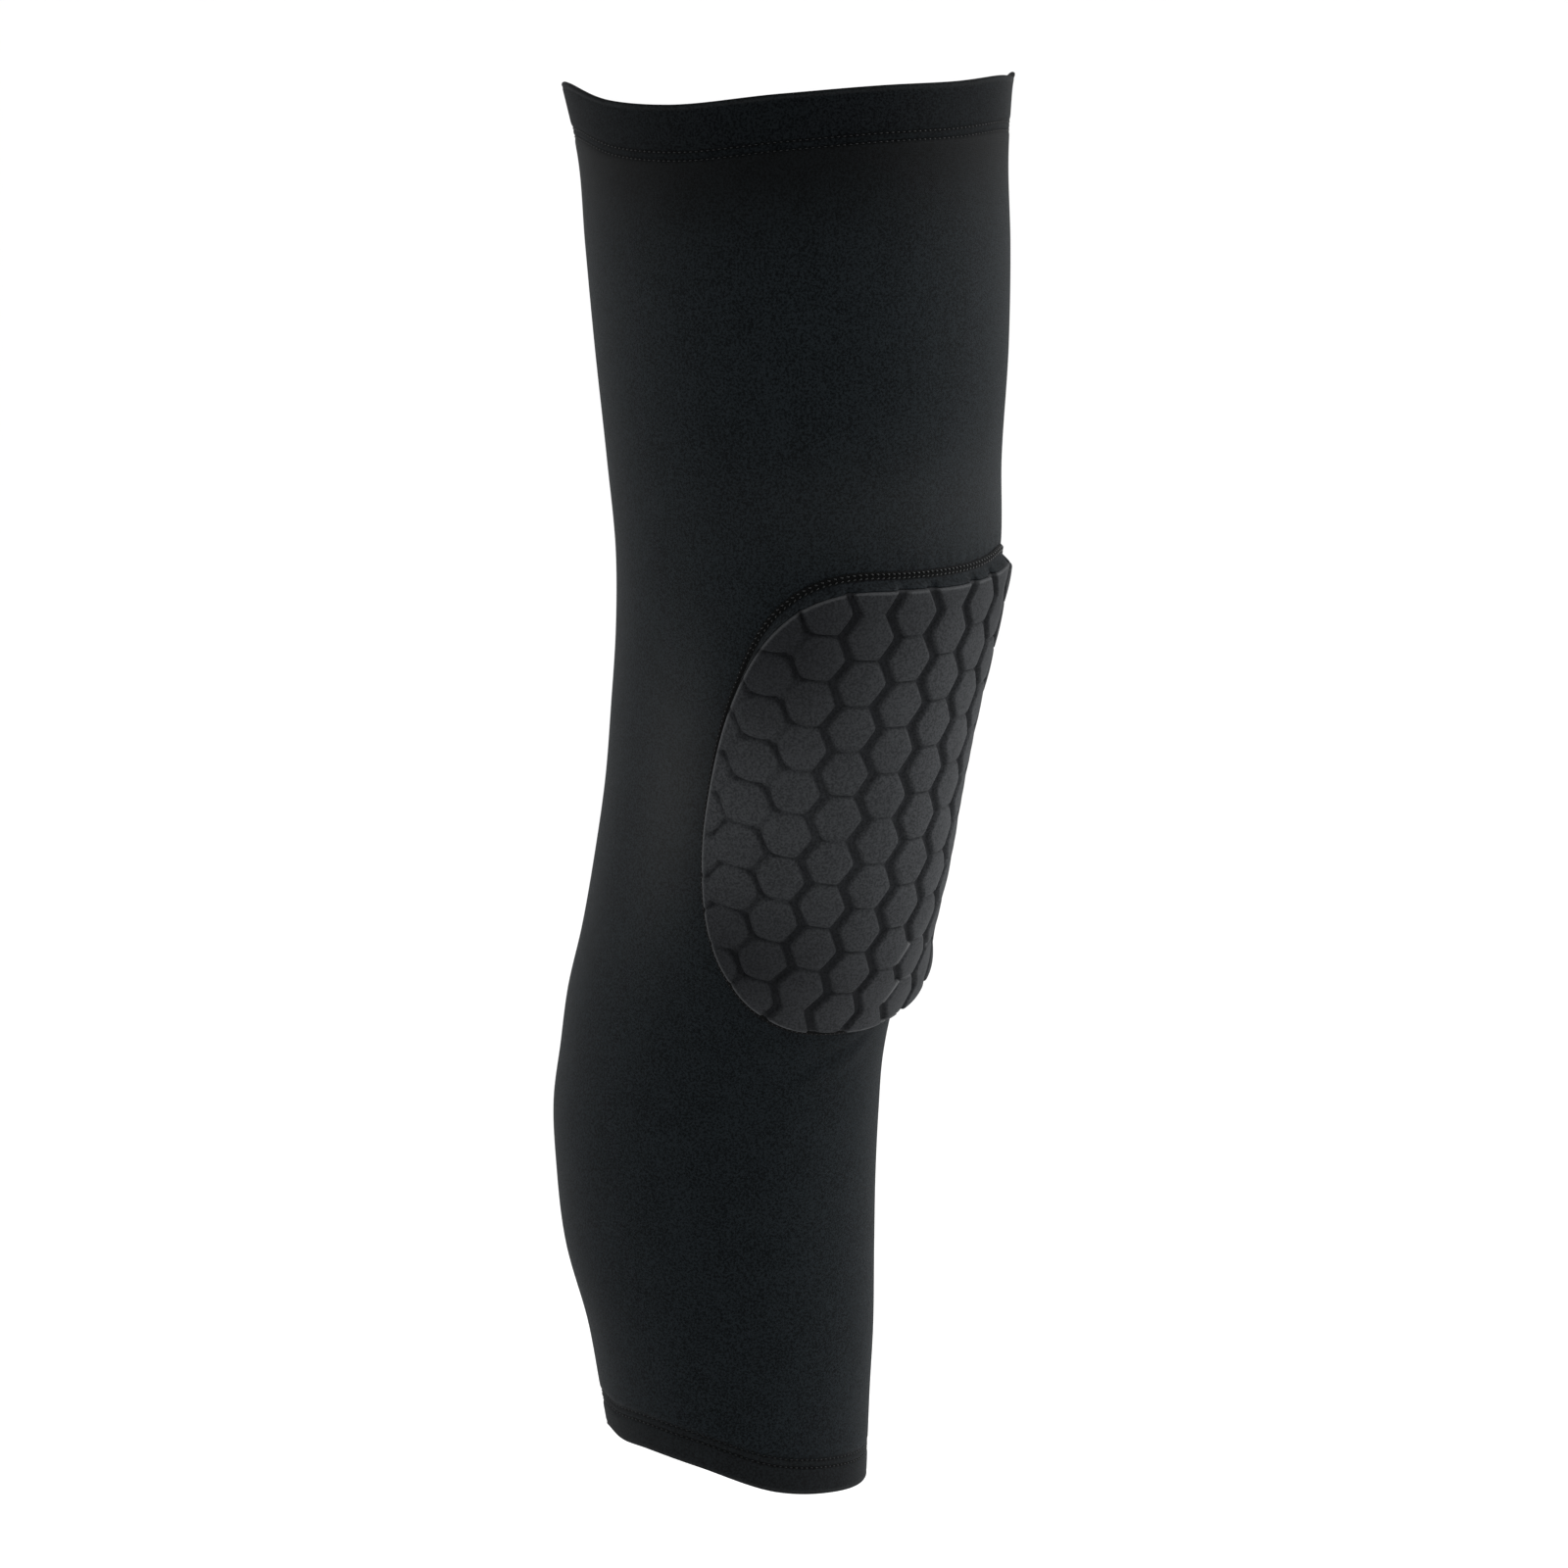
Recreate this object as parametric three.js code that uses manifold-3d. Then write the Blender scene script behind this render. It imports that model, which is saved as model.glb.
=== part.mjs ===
// Padded knee sleeve: a knitted compression tube from the thigh to the calf, turned in a hem at both
// openings, with a honeycomb foam pad sewn to the front of the knee. Millimetres, +Z up the leg, the
// front of the knee faces -Y, and the origin is the middle of the knee inside the sleeve.

import * as THREE from 'three';
import { mergeVertices } from 'three/addons/utils/BufferGeometryUtils.js';
import Module from 'manifold-3d';

const wasm = await Module();
wasm.setup();

// Lengths of the worn sleeve, from the middle of the knee
const THIGH_LENGTH = 250;
const SHIN_LENGTH = 260;

// Widths, side to side, and depths, front to back, at the four places where a leg is measured
const THIGH_WIDTH = 145;
const THIGH_DEPTH = 147;
const KNEE_WIDTH = 113;
const KNEE_DEPTH = 130;
const CALF_WIDTH = 110;
const CALF_DEPTH = 126;
const CUFF_WIDTH = 95;
const CUFF_DEPTH = 103;

// Knit and hems
const KNIT = 1.2;
const TOP_HEM = 17.5;
const BOTTOM_HEM = 14;
const HEM_LAP = 4;
const FOLD_ROUNDING = 0.6;
const GAP = 0.3;

// Pad, measured along the front of the knee and round it
const PAD_WIDTH = 159.6;
const PAD_ABOVE_KNEE = 82;
const PAD_BELOW_KNEE = 86;
const PAD_THICK = 5;
const GROOVE_DEPTH = 1.8;
const CELL_FLATS = 15.8;
const SIDE_GROOVE = 2.6;
const FLAT_GROOVE = 1;
const TOP_BORDER = 4.6;
const SIDE_BORDER = 2.6;
const BORDER_EDGE = 0.9;

// Rows of cells rise towards the sides of the knee, by this slope on the depth gone back
const TOP_RISE = 0.08;
const BOTTOM_RISE = 0.38;

// How finely the faceted solids follow the leg
const BEARINGS = 44;
const SLEEVE_ROWS = 24;
const OUTLINE_POINTS = 64;

const THIGH = { length: THIGH_LENGTH, width: THIGH_WIDTH, depth: THIGH_DEPTH };
const KNEE = { length: THIGH_LENGTH, width: KNEE_WIDTH, depth: KNEE_DEPTH };
const SHIN = { length: SHIN_LENGTH, width: KNEE_WIDTH, depth: KNEE_DEPTH };
const CALF = { length: SHIN_LENGTH, width: CALF_WIDTH, depth: CALF_DEPTH };
const CUFF = { length: SHIN_LENGTH, width: CUFF_WIDTH, depth: CUFF_DEPTH };

// The leg's level sections, from the bottom. Height, width and depth are shares of the sizes that the
// row follows, and back is how far the section's middle lies behind the knee's, as a share of its depth.
const SECTIONS = [
  { of: CUFF, height: -1, width: 0.94, depth: 0.924, back: 0.194 },
  { of: CUFF, height: -0.88, width: 1, depth: 0.996, back: 0.218 },
  { of: CUFF, height: -0.785, width: 1.055, depth: 1.054, back: 0.235 },
  { of: CALF, height: -0.677, width: 0.967, depth: 0.943, back: 0.277 },
  { of: CALF, height: -0.569, width: 1, depth: 0.971, back: 0.292 },
  { of: CALF, height: -0.474, width: 1.005, depth: 0.994, back: 0.291 },
  { of: CALF, height: -0.393, width: 0.996, depth: 0.981, back: 0.268 },
  { of: CALF, height: -0.312, width: 1.004, depth: 0.99, back: 0.231 },
  { of: SHIN, height: -0.217, width: 0.995, depth: 0.978, back: 0.158 },
  { of: SHIN, height: -0.108, width: 1.002, depth: 0.991, back: 0.096 },
  { of: KNEE, height: 0, width: 1.009, depth: 0.989, back: 0.05 },
  { of: KNEE, height: 0.113, width: 1.053, depth: 0.995, back: 0.008 },
  { of: KNEE, height: 0.225, width: 1.119, depth: 1.003, back: -0.037 },
  { of: THIGH, height: 0.338, width: 0.921, depth: 0.905, back: -0.067 },
  { of: THIGH, height: 0.465, width: 0.952, depth: 0.918, back: -0.054 },
  { of: THIGH, height: 0.62, width: 0.979, depth: 0.973, back: -0.043 },
  { of: THIGH, height: 0.76, width: 0.999, depth: 0.999, back: -0.028 },
  { of: THIGH, height: 0.88, width: 1.007, depth: 1.012, back: -0.01 },
  { of: THIGH, height: 0.986, width: 1.052, depth: 1.067, back: 0.015 },
];

// How far each rim lies from the knee, round the leg: bearing in degrees from the front towards +X
const TOP_RIM = [
  { bearing: 0, reach: 0.989 },
  { bearing: 25, reach: 0.992 },
  { bearing: 48, reach: 0.982 },
  { bearing: 90, reach: 0.962 },
  { bearing: 130, reach: 0.944 },
  { bearing: 170, reach: 0.928 },
  { bearing: 200, reach: 0.946 },
  { bearing: 222, reach: 0.975 },
  { bearing: 238, reach: 0.979 },
  { bearing: 262, reach: 0.962 },
  { bearing: 282, reach: 0.96 },
  { bearing: 312, reach: 0.977 },
  { bearing: 338, reach: 0.987 },
];
const BOTTOM_RIM = [
  { bearing: 0, reach: 0.989 },
  { bearing: 40, reach: 1.003 },
  { bearing: 65, reach: 1.003 },
  { bearing: 95, reach: 0.994 },
  { bearing: 135, reach: 0.974 },
  { bearing: 175, reach: 0.958 },
  { bearing: 215, reach: 0.95 },
  { bearing: 238, reach: 0.927 },
  { bearing: 270, reach: 0.927 },
  { bearing: 295, reach: 0.938 },
  { bearing: 330, reach: 0.973 },
];

// A smooth curve through points given as [x, y], straight on beyond both ends
function curveThrough(points) {
  const steps = points.slice(1).map(([x, y], i) => [x - points[i][0], y - points[i][1]]);
  const slopes = points.map((_, i) => {
    const [before, after] = [steps[i - 1], steps[i]];
    if (!before) return after[1] / after[0];
    if (!after) return before[1] / before[0];
    return (before[1] / before[0] * after[0] + after[1] / after[0] * before[0]) / (before[0] + after[0]);
  });
  const last = points.length - 1;
  return (x) => {
    if (x <= points[0][0]) return points[0][1] + (x - points[0][0]) * slopes[0];
    if (x >= points[last][0]) return points[last][1] + (x - points[last][0]) * slopes[last];
    const i = points.findIndex(([end]) => x < end) - 1;
    const [run, rise] = steps[i];
    const t = (x - points[i][0]) / run;
    const ease = t * t * (3 - 2 * t);
    return points[i][1] + ease * rise
      + run * t * (1 - t) * ((1 - t) * slopes[i] - t * slopes[i + 1]);
  };
}

const levels = SECTIONS.map(({ of, height, width, depth, back }) => ({
  z: height * of.length,
  halfWidth: width * of.width / 2,
  halfDepth: depth * of.depth / 2,
  back: back * KNEE_DEPTH,
}));
const halfWidth = curveThrough(levels.map((level) => [level.z, level.halfWidth]));
const halfDepth = curveThrough(levels.map((level) => [level.z, level.halfDepth]));
const middle = curveThrough(levels.map((level) => [level.z, level.back]));

// A rim's height round the leg, by bearing in radians, from its table and the length that it follows
function rimHeight(table, length) {
  const turns = [-1, 0, 1];
  const points = turns.flatMap((turn) => table.map((row) => [row.bearing + 360 * turn, row.reach * length]));
  const height = curveThrough(points);
  return (bearing) => height(THREE.MathUtils.euclideanModulo(THREE.MathUtils.radToDeg(bearing), 360));
}
const topRim = rimHeight(TOP_RIM, THIGH_LENGTH);
const bottomRim = rimHeight(BOTTOM_RIM, -SHIN_LENGTH);

// The point on the leg's section at this bearing and height
function onLeg(bearing, z) {
  const x = halfWidth(z) * Math.sin(bearing);
  const y = middle(z) - halfDepth(z) * Math.cos(bearing);
  return new THREE.Vector3(x, y, z);
}

// The same point moved out of the sleeve's outer face by a distance, or into the wall where it is negative
function offLeg(bearing, z, out) {
  const turn = 0.001;
  const climb = 0.5;
  const round = onLeg(bearing + turn, z).sub(onLeg(bearing - turn, z));
  const up = onLeg(bearing, z + climb).sub(onLeg(bearing, z - climb));
  return onLeg(bearing, z).addScaledVector(round.cross(up).normalize(), out);
}

// A closed surface through a ring of closed sections, with its faces pointing out
function skin(sections) {
  const size = sections[0].length;
  const corners = sections.flat().flatMap((point) => point.toArray());
  const faces = [];
  sections.forEach((_, i) => {
    const here = i * size;
    const next = ((i + 1) % sections.length) * size;
    for (let j = 0; j < size; j += 1) {
      const k = (j + 1) % size;
      faces.push([here + j, next + j, here + k], [here + k, next + j, next + k]);
    }
  });
  const geometry = new THREE.BufferGeometry();
  geometry.setAttribute('position', new THREE.Float32BufferAttribute(corners, 3));
  geometry.setIndex(faces.flat());
  return facingOut(mergeVertices(geometry, 1e-4));
}

// Drops the faces that a pole has closed up, and turns the rest outwards
function facingOut(geometry) {
  const position = geometry.getAttribute('position');
  const index = geometry.getIndex().array;
  const corner = (i) => new THREE.Vector3().fromBufferAttribute(position, i);
  const kept = [];
  let volume = 0;
  for (let i = 0; i < index.length; i += 3) {
    const [a, b, c] = index.slice(i, i + 3);
    if (a === b || b === c || c === a) continue;
    kept.push([a, b, c]);
    volume += corner(a).dot(corner(b).cross(corner(c)));
  }
  geometry.setIndex(kept.flatMap(([a, b, c]) => (volume > 0 ? [a, b, c] : [a, c, b])));
  return geometry;
}

function toSolid(geometry) {
  const vertProperties = new Float32Array(geometry.getAttribute('position').array);
  const triVerts = new Uint32Array(geometry.getIndex().array);
  return new wasm.Manifold(new wasm.Mesh({ numProp: 3, vertProperties, triVerts }));
}

function toGeometry(solid) {
  const mesh = solid.getMesh();
  const geometry = new THREE.BufferGeometry();
  geometry.setAttribute('position', new THREE.BufferAttribute(mesh.vertProperties, 3));
  geometry.setIndex(new THREE.BufferAttribute(mesh.triVerts, 1));
  return geometry;
}

function roundTheLeg(sectionAt) {
  return skin(Array.from({ length: BEARINGS }, (_, i) => sectionAt(2 * Math.PI * i / BEARINGS)));
}

// Heights of the sleeve's rows between its two hems, at one bearing
function sleeveRows(bearing) {
  const low = bottomRim(bearing) + BOTTOM_HEM;
  const high = topRim(bearing) - TOP_HEM;
  return Array.from({ length: SLEEVE_ROWS + 1 }, (_, j) => THREE.MathUtils.lerp(low, high, j / SLEEVE_ROWS));
}

function sleeveGeometry() {
  return roundTheLeg((bearing) => {
    const rows = sleeveRows(bearing);
    const outside = rows.map((z) => offLeg(bearing, z, 0));
    const inside = rows.map((z) => offLeg(bearing, z, -KNIT));
    return [...outside, ...inside.reverse()];
  });
}

// A hem's section: the fold at the rim, the outer layer down to the sleeve's edge, and the turned layer,
// which laps behind the sleeve. Towards is +1 where the rim is up and -1 where it is down.
function hemGeometry(rim, width, towards) {
  const depth = 2 * KNIT + GAP;
  const lapFace = KNIT + GAP;
  return roundTheLeg((bearing) => {
    const edge = rim(bearing);
    const at = (fromRim, inwards) => offLeg(bearing, edge - towards * fromRim, -inwards);
    return [
      at(width - GAP, 0),
      at(FOLD_ROUNDING, 0),
      at(0, FOLD_ROUNDING),
      at(0, depth - FOLD_ROUNDING),
      at(FOLD_ROUNDING, depth),
      at(width + HEM_LAP, depth),
      at(width + HEM_LAP, lapFace),
      at(width - GAP, lapFace),
    ];
  });
}

// The leg filled up to a distance out of the sleeve's outer face, with the sleeve's own facets
function legColumn(out) {
  const sections = Array.from({ length: BEARINGS }, (_, i) => {
    const bearing = 2 * Math.PI * i / BEARINGS;
    const side = sleeveRows(bearing).map((z) => offLeg(bearing, z, out));
    const low = new THREE.Vector3(0, middle(-SHIN_LENGTH), -SHIN_LENGTH);
    const high = new THREE.Vector3(0, middle(THIGH_LENGTH), THIGH_LENGTH);
    return [low, ...side, high];
  });
  return toSolid(skin(sections));
}

// Height on the front line for a length measured up it from the knee, on the pad's face
const frontLine = (() => {
  const step = 2;
  const points = [[0, 0]];
  for (const way of [-1, 1]) {
    let length = 0;
    for (let z = 0; Math.abs(z) < Math.min(THIGH_LENGTH, SHIN_LENGTH); z += way * step) {
      length += offLeg(0, z, PAD_THICK).distanceTo(offLeg(0, z + way * step, PAD_THICK));
      points.push([way * length, z + way * step]);
    }
  }
  return curveThrough(points.sort((a, b) => a[0] - b[0]));
})();

// The bearing reached by going round the section for a length, on the pad's face
function bearingAt(length, z) {
  const step = 0.02;
  const [across, along] = [halfWidth(z) + PAD_THICK, halfDepth(z) + PAD_THICK];
  let bearing = 0;
  let left = Math.abs(length);
  while (left > 0) {
    const middleOfStep = bearing + step / 2;
    const run = step * Math.hypot(across * Math.cos(middleOfStep), along * Math.sin(middleOfStep));
    bearing += step * Math.min(1, left / run);
    left -= run;
  }
  return Math.sign(length) * bearing;
}

// A point of the pad: u round the knee from the front line, v up it, and out from the sleeve's face
function onPad({ u, v }, out) {
  const front = frontLine(v);
  const upShare = THREE.MathUtils.inverseLerp(-PAD_BELOW_KNEE, PAD_ABOVE_KNEE, v);
  const rise = THREE.MathUtils.lerp(BOTTOM_RISE, TOP_RISE, THREE.MathUtils.clamp(upShare, 0, 1));
  let z = front;
  let bearing = 0;
  for (let pass = 0; pass < 4; pass += 1) {
    bearing = bearingAt(u, z);
    z = front + rise * (halfDepth(z) + PAD_THICK) * (1 - Math.cos(bearing));
  }
  return offLeg(bearing, z, out);
}

// The pad's outline: flat at the top and bottom, full at the sides, rounder below than above
function padOutline() {
  const half = PAD_WIDTH / 2;
  const waist = -0.1 * PAD_BELOW_KNEE;
  const [top, bottom] = [PAD_ABOVE_KNEE, -PAD_BELOW_KNEE];
  const upperPull = THREE.MathUtils.lerp(waist, top, 0.8);
  const lowerPull = THREE.MathUtils.lerp(waist, bottom, 0.69);
  const path = new THREE.Path();
  path.moveTo(0, top);
  path.lineTo(-0.4 * half, top);
  path.bezierCurveTo(-0.78 * half, top, -half, upperPull, -half, waist);
  path.bezierCurveTo(-half, lowerPull, -0.75 * half, bottom, -0.25 * half, bottom);
  path.lineTo(0.25 * half, bottom);
  path.bezierCurveTo(0.75 * half, bottom, half, lowerPull, half, waist);
  path.bezierCurveTo(half, upperPull, 0.78 * half, top, 0.4 * half, top);
  path.closePath();
  return path.getSpacedPoints(OUTLINE_POINTS).slice(0, OUTLINE_POINTS).map(({ x, y }) => ({ u: x, v: y }));
}

// The outline moved outwards, by a width that may differ from point to point
function grown(outline, widthAt) {
  return outline.map((point, i) => {
    const before = outline.at(i - 1);
    const after = outline[(i + 1) % outline.length];
    const along = { u: after.u - before.u, v: after.v - before.v };
    const share = widthAt(point) / Math.hypot(along.u, along.v);
    return { u: point.u + along.v * share, v: point.v - along.u * share };
  });
}

// Everything over the pad's outline, from inside the sleeve's wall to well above the cells
function padCutter(outline) {
  const middleOfPad = (PAD_ABOVE_KNEE - PAD_BELOW_KNEE) / 2;
  const shares = [0, 1 / 3, 2 / 3, 1];
  const sections = outline.map((point) => {
    const at = (share, out) => {
      const v = THREE.MathUtils.lerp(middleOfPad, point.v, share);
      return onPad({ u: point.u * share, v }, out);
    };
    const below = shares.map((share) => at(share, -3 * KNIT));
    const above = shares.map((share) => at(share, 3 * PAD_THICK));
    return [...below, ...above.reverse()];
  });
  return toSolid(skin(sections));
}

// The six corners of a cell, from its right-hand one round to the left: each is given on the cell's face,
// and on the floor in the middle of the grooves, which the neighbours share.
function cellCorners(centre, pitch) {
  const faceReach = CELL_FLATS / Math.sqrt(3);
  const wide = 2 / 3 * pitch.column;
  const narrow = pitch.column - wide;
  return [0, 1, 2, 3, 4, 5].map((k) => {
    const [across, up] = [Math.cos(k * Math.PI / 3), Math.sin(k * Math.PI / 3)];
    const floorAcross = k % 3 ? narrow : wide;
    return {
      face: { u: centre.u + faceReach * across, v: centre.v + faceReach * up },
      floor: {
        u: centre.u + Math.sign(across) * floorAcross,
        v: centre.v + Math.sign(Math.round(2 * up)) * pitch.row / 2,
      },
    };
  });
}

// Two cells of a column as one, where the pad's top or bottom edge would leave half a cell
function joinedCorners(upper, lower) {
  const waist = (a, b) => ({ face: { u: a.face.u, v: a.floor.v }, floor: b.floor });
  return [
    lower[0], waist(lower[1], upper[5]), upper[0], upper[1], upper[2],
    upper[3], waist(upper[4], lower[2]), lower[3], lower[4], lower[5],
  ];
}

// The six-sided cells over the whole pad and a little past it: upright columns, every other one half a
// cell lower
function honeycomb() {
  const slant = Math.PI / 6;
  const row = CELL_FLATS + FLAT_GROOVE;
  const column = (CELL_FLATS + SIDE_GROOVE - row / 2 * Math.sin(slant)) / Math.cos(slant);
  const pitch = { row, column };
  const outermost = Math.ceil((PAD_WIDTH / 2 + column / 2) / column);
  const onEdge = (v, edge) => Math.abs(v - edge) < row / 3;
  const cells = [];
  for (let index = -outermost; index <= outermost; index += 1) {
    const lower = index % 2 ? 0 : row / 2;
    const u = index * column;
    let v = PAD_ABOVE_KNEE + FLAT_GROOVE / 2 + row / 2 - lower;
    while (v > -PAD_BELOW_KNEE - row) {
      const below = v - row;
      const corners = cellCorners({ u, v }, pitch);
      if (onEdge(v, PAD_ABOVE_KNEE) || onEdge(below, -PAD_BELOW_KNEE)) {
        const next = cellCorners({ u, v: below }, pitch);
        cells.push({ centre: { u, v: v - row / 2 }, corners: joinedCorners(corners, next) });
        v -= 2 * row;
      } else {
        cells.push({ centre: { u, v }, corners });
        v -= row;
      }
    }
  }
  return cells;
}

// The grooves fade out towards the pad's sides
function grooveDepth({ u }) {
  const share = Math.abs(u) / (PAD_WIDTH / 2);
  return GROOVE_DEPTH * (1 - THREE.MathUtils.smoothstep(share, 0.8, 0.95));
}

// One closed body over all the cells: their faces, the grooves' slopes, the underside, and a wall where a
// cell has no neighbour
function cellSlab(cells) {
  const below = -2 * KNIT;
  const triangles = [];
  const quad = (a, b, c, d) => triangles.push(a, b, c, a, c, d);
  const spots = cells.map(({ centre, corners }) => ({
    top: onPad(centre, PAD_THICK),
    bottom: onPad(centre, below),
    corners: corners.map(({ face, floor }) => ({
      face: onPad(face, PAD_THICK),
      floor: onPad(floor, PAD_THICK - grooveDepth(floor)),
      foot: onPad(floor, below),
    })),
  }));
  const edgeName = (a, b) => {
    const mid = a.foot.clone().add(b.foot).round();
    return `${mid.x},${mid.y},${mid.z}`;
  };
  const uses = new Map();
  const eachEdge = (visit) => spots.forEach(({ top, bottom, corners }) => corners.forEach((corner, k) => {
    visit(corner, corners[(k + 1) % corners.length], top, bottom);
  }));
  eachEdge((a, b) => uses.set(edgeName(a, b), (uses.get(edgeName(a, b)) ?? 0) + 1));
  eachEdge((a, b, top, bottom) => {
    triangles.push(top, a.face, b.face, bottom, b.foot, a.foot);
    quad(a.face, a.floor, b.floor, b.face);
    if (uses.get(edgeName(a, b)) === 1) quad(a.floor, a.foot, b.foot, b.floor);
  });
  const geometry = new THREE.BufferGeometry().setFromPoints(triangles);
  return toSolid(facingOut(mergeVertices(geometry, 1e-3)));
}

function kneePadGeometry(outline) {
  const pad = cellSlab(honeycomb()).intersect(padCutter(outline)).subtract(legColumn(GAP));
  return toGeometry(pad);
}

// The sewn strip round the pad: thin at its seam, and as high as the foam's edge where it meets it
function padBorderGeometry(outline) {
  const widthAt = ({ v }) => {
    const up = THREE.MathUtils.smoothstep(v, PAD_ABOVE_KNEE / 2, PAD_ABOVE_KNEE);
    return THREE.MathUtils.lerp(SIDE_BORDER, TOP_BORDER, up);
  };
  const inner = grown(outline, () => GAP);
  const outer = grown(outline, widthAt);
  const crest = PAD_THICK - GROOVE_DEPTH / 2;
  const sections = outline.map((_, i) => [
    onPad(inner[i], -KNIT),
    onPad(inner[i], crest),
    onPad(outer[i], GAP + BORDER_EDGE),
    onPad(outer[i], -KNIT),
  ]);
  return toGeometry(toSolid(skin(sections)).subtract(legColumn(GAP)));
}

const knit = new THREE.MeshStandardMaterial({ color: 0x1b1d20, roughness: 0.82, metalness: 0 });
const hemKnit = new THREE.MeshStandardMaterial({ color: 0x151719, roughness: 0.85, metalness: 0 });
const borderKnit = new THREE.MeshStandardMaterial({ color: 0x181a1c, roughness: 0.85, metalness: 0 });
const padFace = new THREE.MeshStandardMaterial({ color: 0x2b2d2f, roughness: 0.75, metalness: 0 });

function piece(name, geometry, material) {
  const mesh = new THREE.Mesh(geometry, material);
  mesh.name = name;
  return mesh;
}

const outline = padOutline();
const kneePad = new THREE.Group();
kneePad.add(
  piece('sleeve', sleeveGeometry(), knit),
  piece('top_hem', hemGeometry(topRim, TOP_HEM, 1), hemKnit),
  piece('bottom_hem', hemGeometry(bottomRim, BOTTOM_HEM, -1), hemKnit),
  piece('pad_border', padBorderGeometry(outline), borderKnit),
  piece('knee_pad', kneePadGeometry(outline), padFace),
);

export default kneePad;
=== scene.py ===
import math

import bpy
import numpy as np
from mathutils import Matrix


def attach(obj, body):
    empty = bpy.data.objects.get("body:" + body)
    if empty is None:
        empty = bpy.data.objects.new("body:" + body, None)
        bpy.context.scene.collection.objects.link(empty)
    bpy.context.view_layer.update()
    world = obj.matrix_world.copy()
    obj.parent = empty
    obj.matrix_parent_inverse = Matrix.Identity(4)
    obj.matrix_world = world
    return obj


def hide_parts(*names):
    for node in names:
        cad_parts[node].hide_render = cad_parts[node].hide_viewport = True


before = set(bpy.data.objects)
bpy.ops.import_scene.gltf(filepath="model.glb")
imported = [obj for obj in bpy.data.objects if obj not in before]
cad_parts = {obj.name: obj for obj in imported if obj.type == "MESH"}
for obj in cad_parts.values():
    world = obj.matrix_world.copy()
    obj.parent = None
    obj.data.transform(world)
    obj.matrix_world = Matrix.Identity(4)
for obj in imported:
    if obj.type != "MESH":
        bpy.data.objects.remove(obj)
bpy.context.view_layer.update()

MM = 0.001


# ---------------------------------------------------------------------------------------------------
# Studio: a camera a little over the knee and to one side of it, a pale floor well under the sleeve, and
# large soft lights at both sides that draw a sheen along the black cloth's edges.
CAMERA_AZIMUTH = math.radians(-45.5)
CAMERA_ELEVATION = math.radians(11.5)
CAMERA_DISTANCE = 1.6
CAMERA_LENS = 104.35
AIM_ASIDE = -2.07 * MM
FLOOR_HEIGHT = -0.9
FLOOR_REACH = 40
FLOOR_COLOUR = (0.93, 0.93, 0.93, 1)

away = np.array([math.sin(CAMERA_AZIMUTH) * math.cos(CAMERA_ELEVATION),
                 -math.cos(CAMERA_AZIMUTH) * math.cos(CAMERA_ELEVATION),
                 math.sin(CAMERA_ELEVATION)])
aside = np.array([math.cos(CAMERA_AZIMUTH), math.sin(CAMERA_AZIMUTH), 0])


def looking_from(name, data, place, target):
    """An object at a place that looks at a target, with its top upwards."""
    thing = bpy.data.objects.new(name, data)
    bpy.context.collection.objects.link(thing)
    gaze = np.asarray(target) - np.asarray(place)
    gaze = gaze / np.linalg.norm(gaze)
    across = np.cross(gaze, (0, 0, 1))
    across = across / np.linalg.norm(across)
    over = np.cross(across, gaze)
    turn = np.eye(4)
    turn[:3, 0], turn[:3, 1], turn[:3, 2], turn[:3, 3] = across, over, -gaze, place
    thing.matrix_world = Matrix(turn.tolist())
    return thing


camera_data = bpy.data.cameras.new("camera")
camera_data.lens = CAMERA_LENS
camera_data.sensor_width = 36
camera_data.clip_start = 0.05
camera_data.clip_end = 100
camera = looking_from("camera", camera_data, away * CAMERA_DISTANCE, aside * AIM_ASIDE)
bpy.context.scene.camera = camera
bpy.context.scene.view_settings.view_transform = "Standard"

world = bpy.data.worlds.new("studio")
world.use_nodes = True
world.node_tree.nodes["Background"].inputs["Color"].default_value = (1, 1, 1, 1)
world.node_tree.nodes["Background"].inputs["Strength"].default_value = 1.08
bpy.context.scene.world = world

SOFTBOXES = [
    {"name": "softbox_right", "aside": 1.5, "toward": -0.3, "up": 0.5, "size": 1.4, "watts": 38},
    {"name": "softbox_left", "aside": -1.5, "toward": -0.5, "up": 0.4, "size": 1.2, "watts": 15},
    {"name": "softbox_top", "aside": 0.1, "toward": 0.6, "up": 1.8, "size": 1.2, "watts": 7},
]
front = np.array([away[0], away[1], 0]) / math.hypot(away[0], away[1])
for box in SOFTBOXES:
    lamp = bpy.data.lights.new(box["name"], "AREA")
    lamp.shape = "DISK"
    lamp.size = box["size"]
    lamp.energy = box["watts"]
    place = aside * box["aside"] + front * box["toward"] + np.array([0, 0, box["up"]])
    softbox = looking_from(box["name"], lamp, place, (0, 0, 0))
    softbox.visible_camera = False

floor_mesh = bpy.data.meshes.new("floor")
floor_mesh.from_pydata([(x * FLOOR_REACH, y * FLOOR_REACH, FLOOR_HEIGHT)
                        for x, y in ((-1, -1), (1, -1), (1, 1), (-1, 1))], [], [(0, 1, 2, 3)])
floor = bpy.data.objects.new("floor", floor_mesh)
bpy.context.collection.objects.link(floor)
paper = bpy.data.materials.new("floor_paper")
paper.use_nodes = True
paper.node_tree.nodes["Principled BSDF"].inputs["Base Color"].default_value = FLOOR_COLOUR
paper.node_tree.nodes["Principled BSDF"].inputs["Roughness"].default_value = 0.95
floor_mesh.materials.append(paper)


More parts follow.
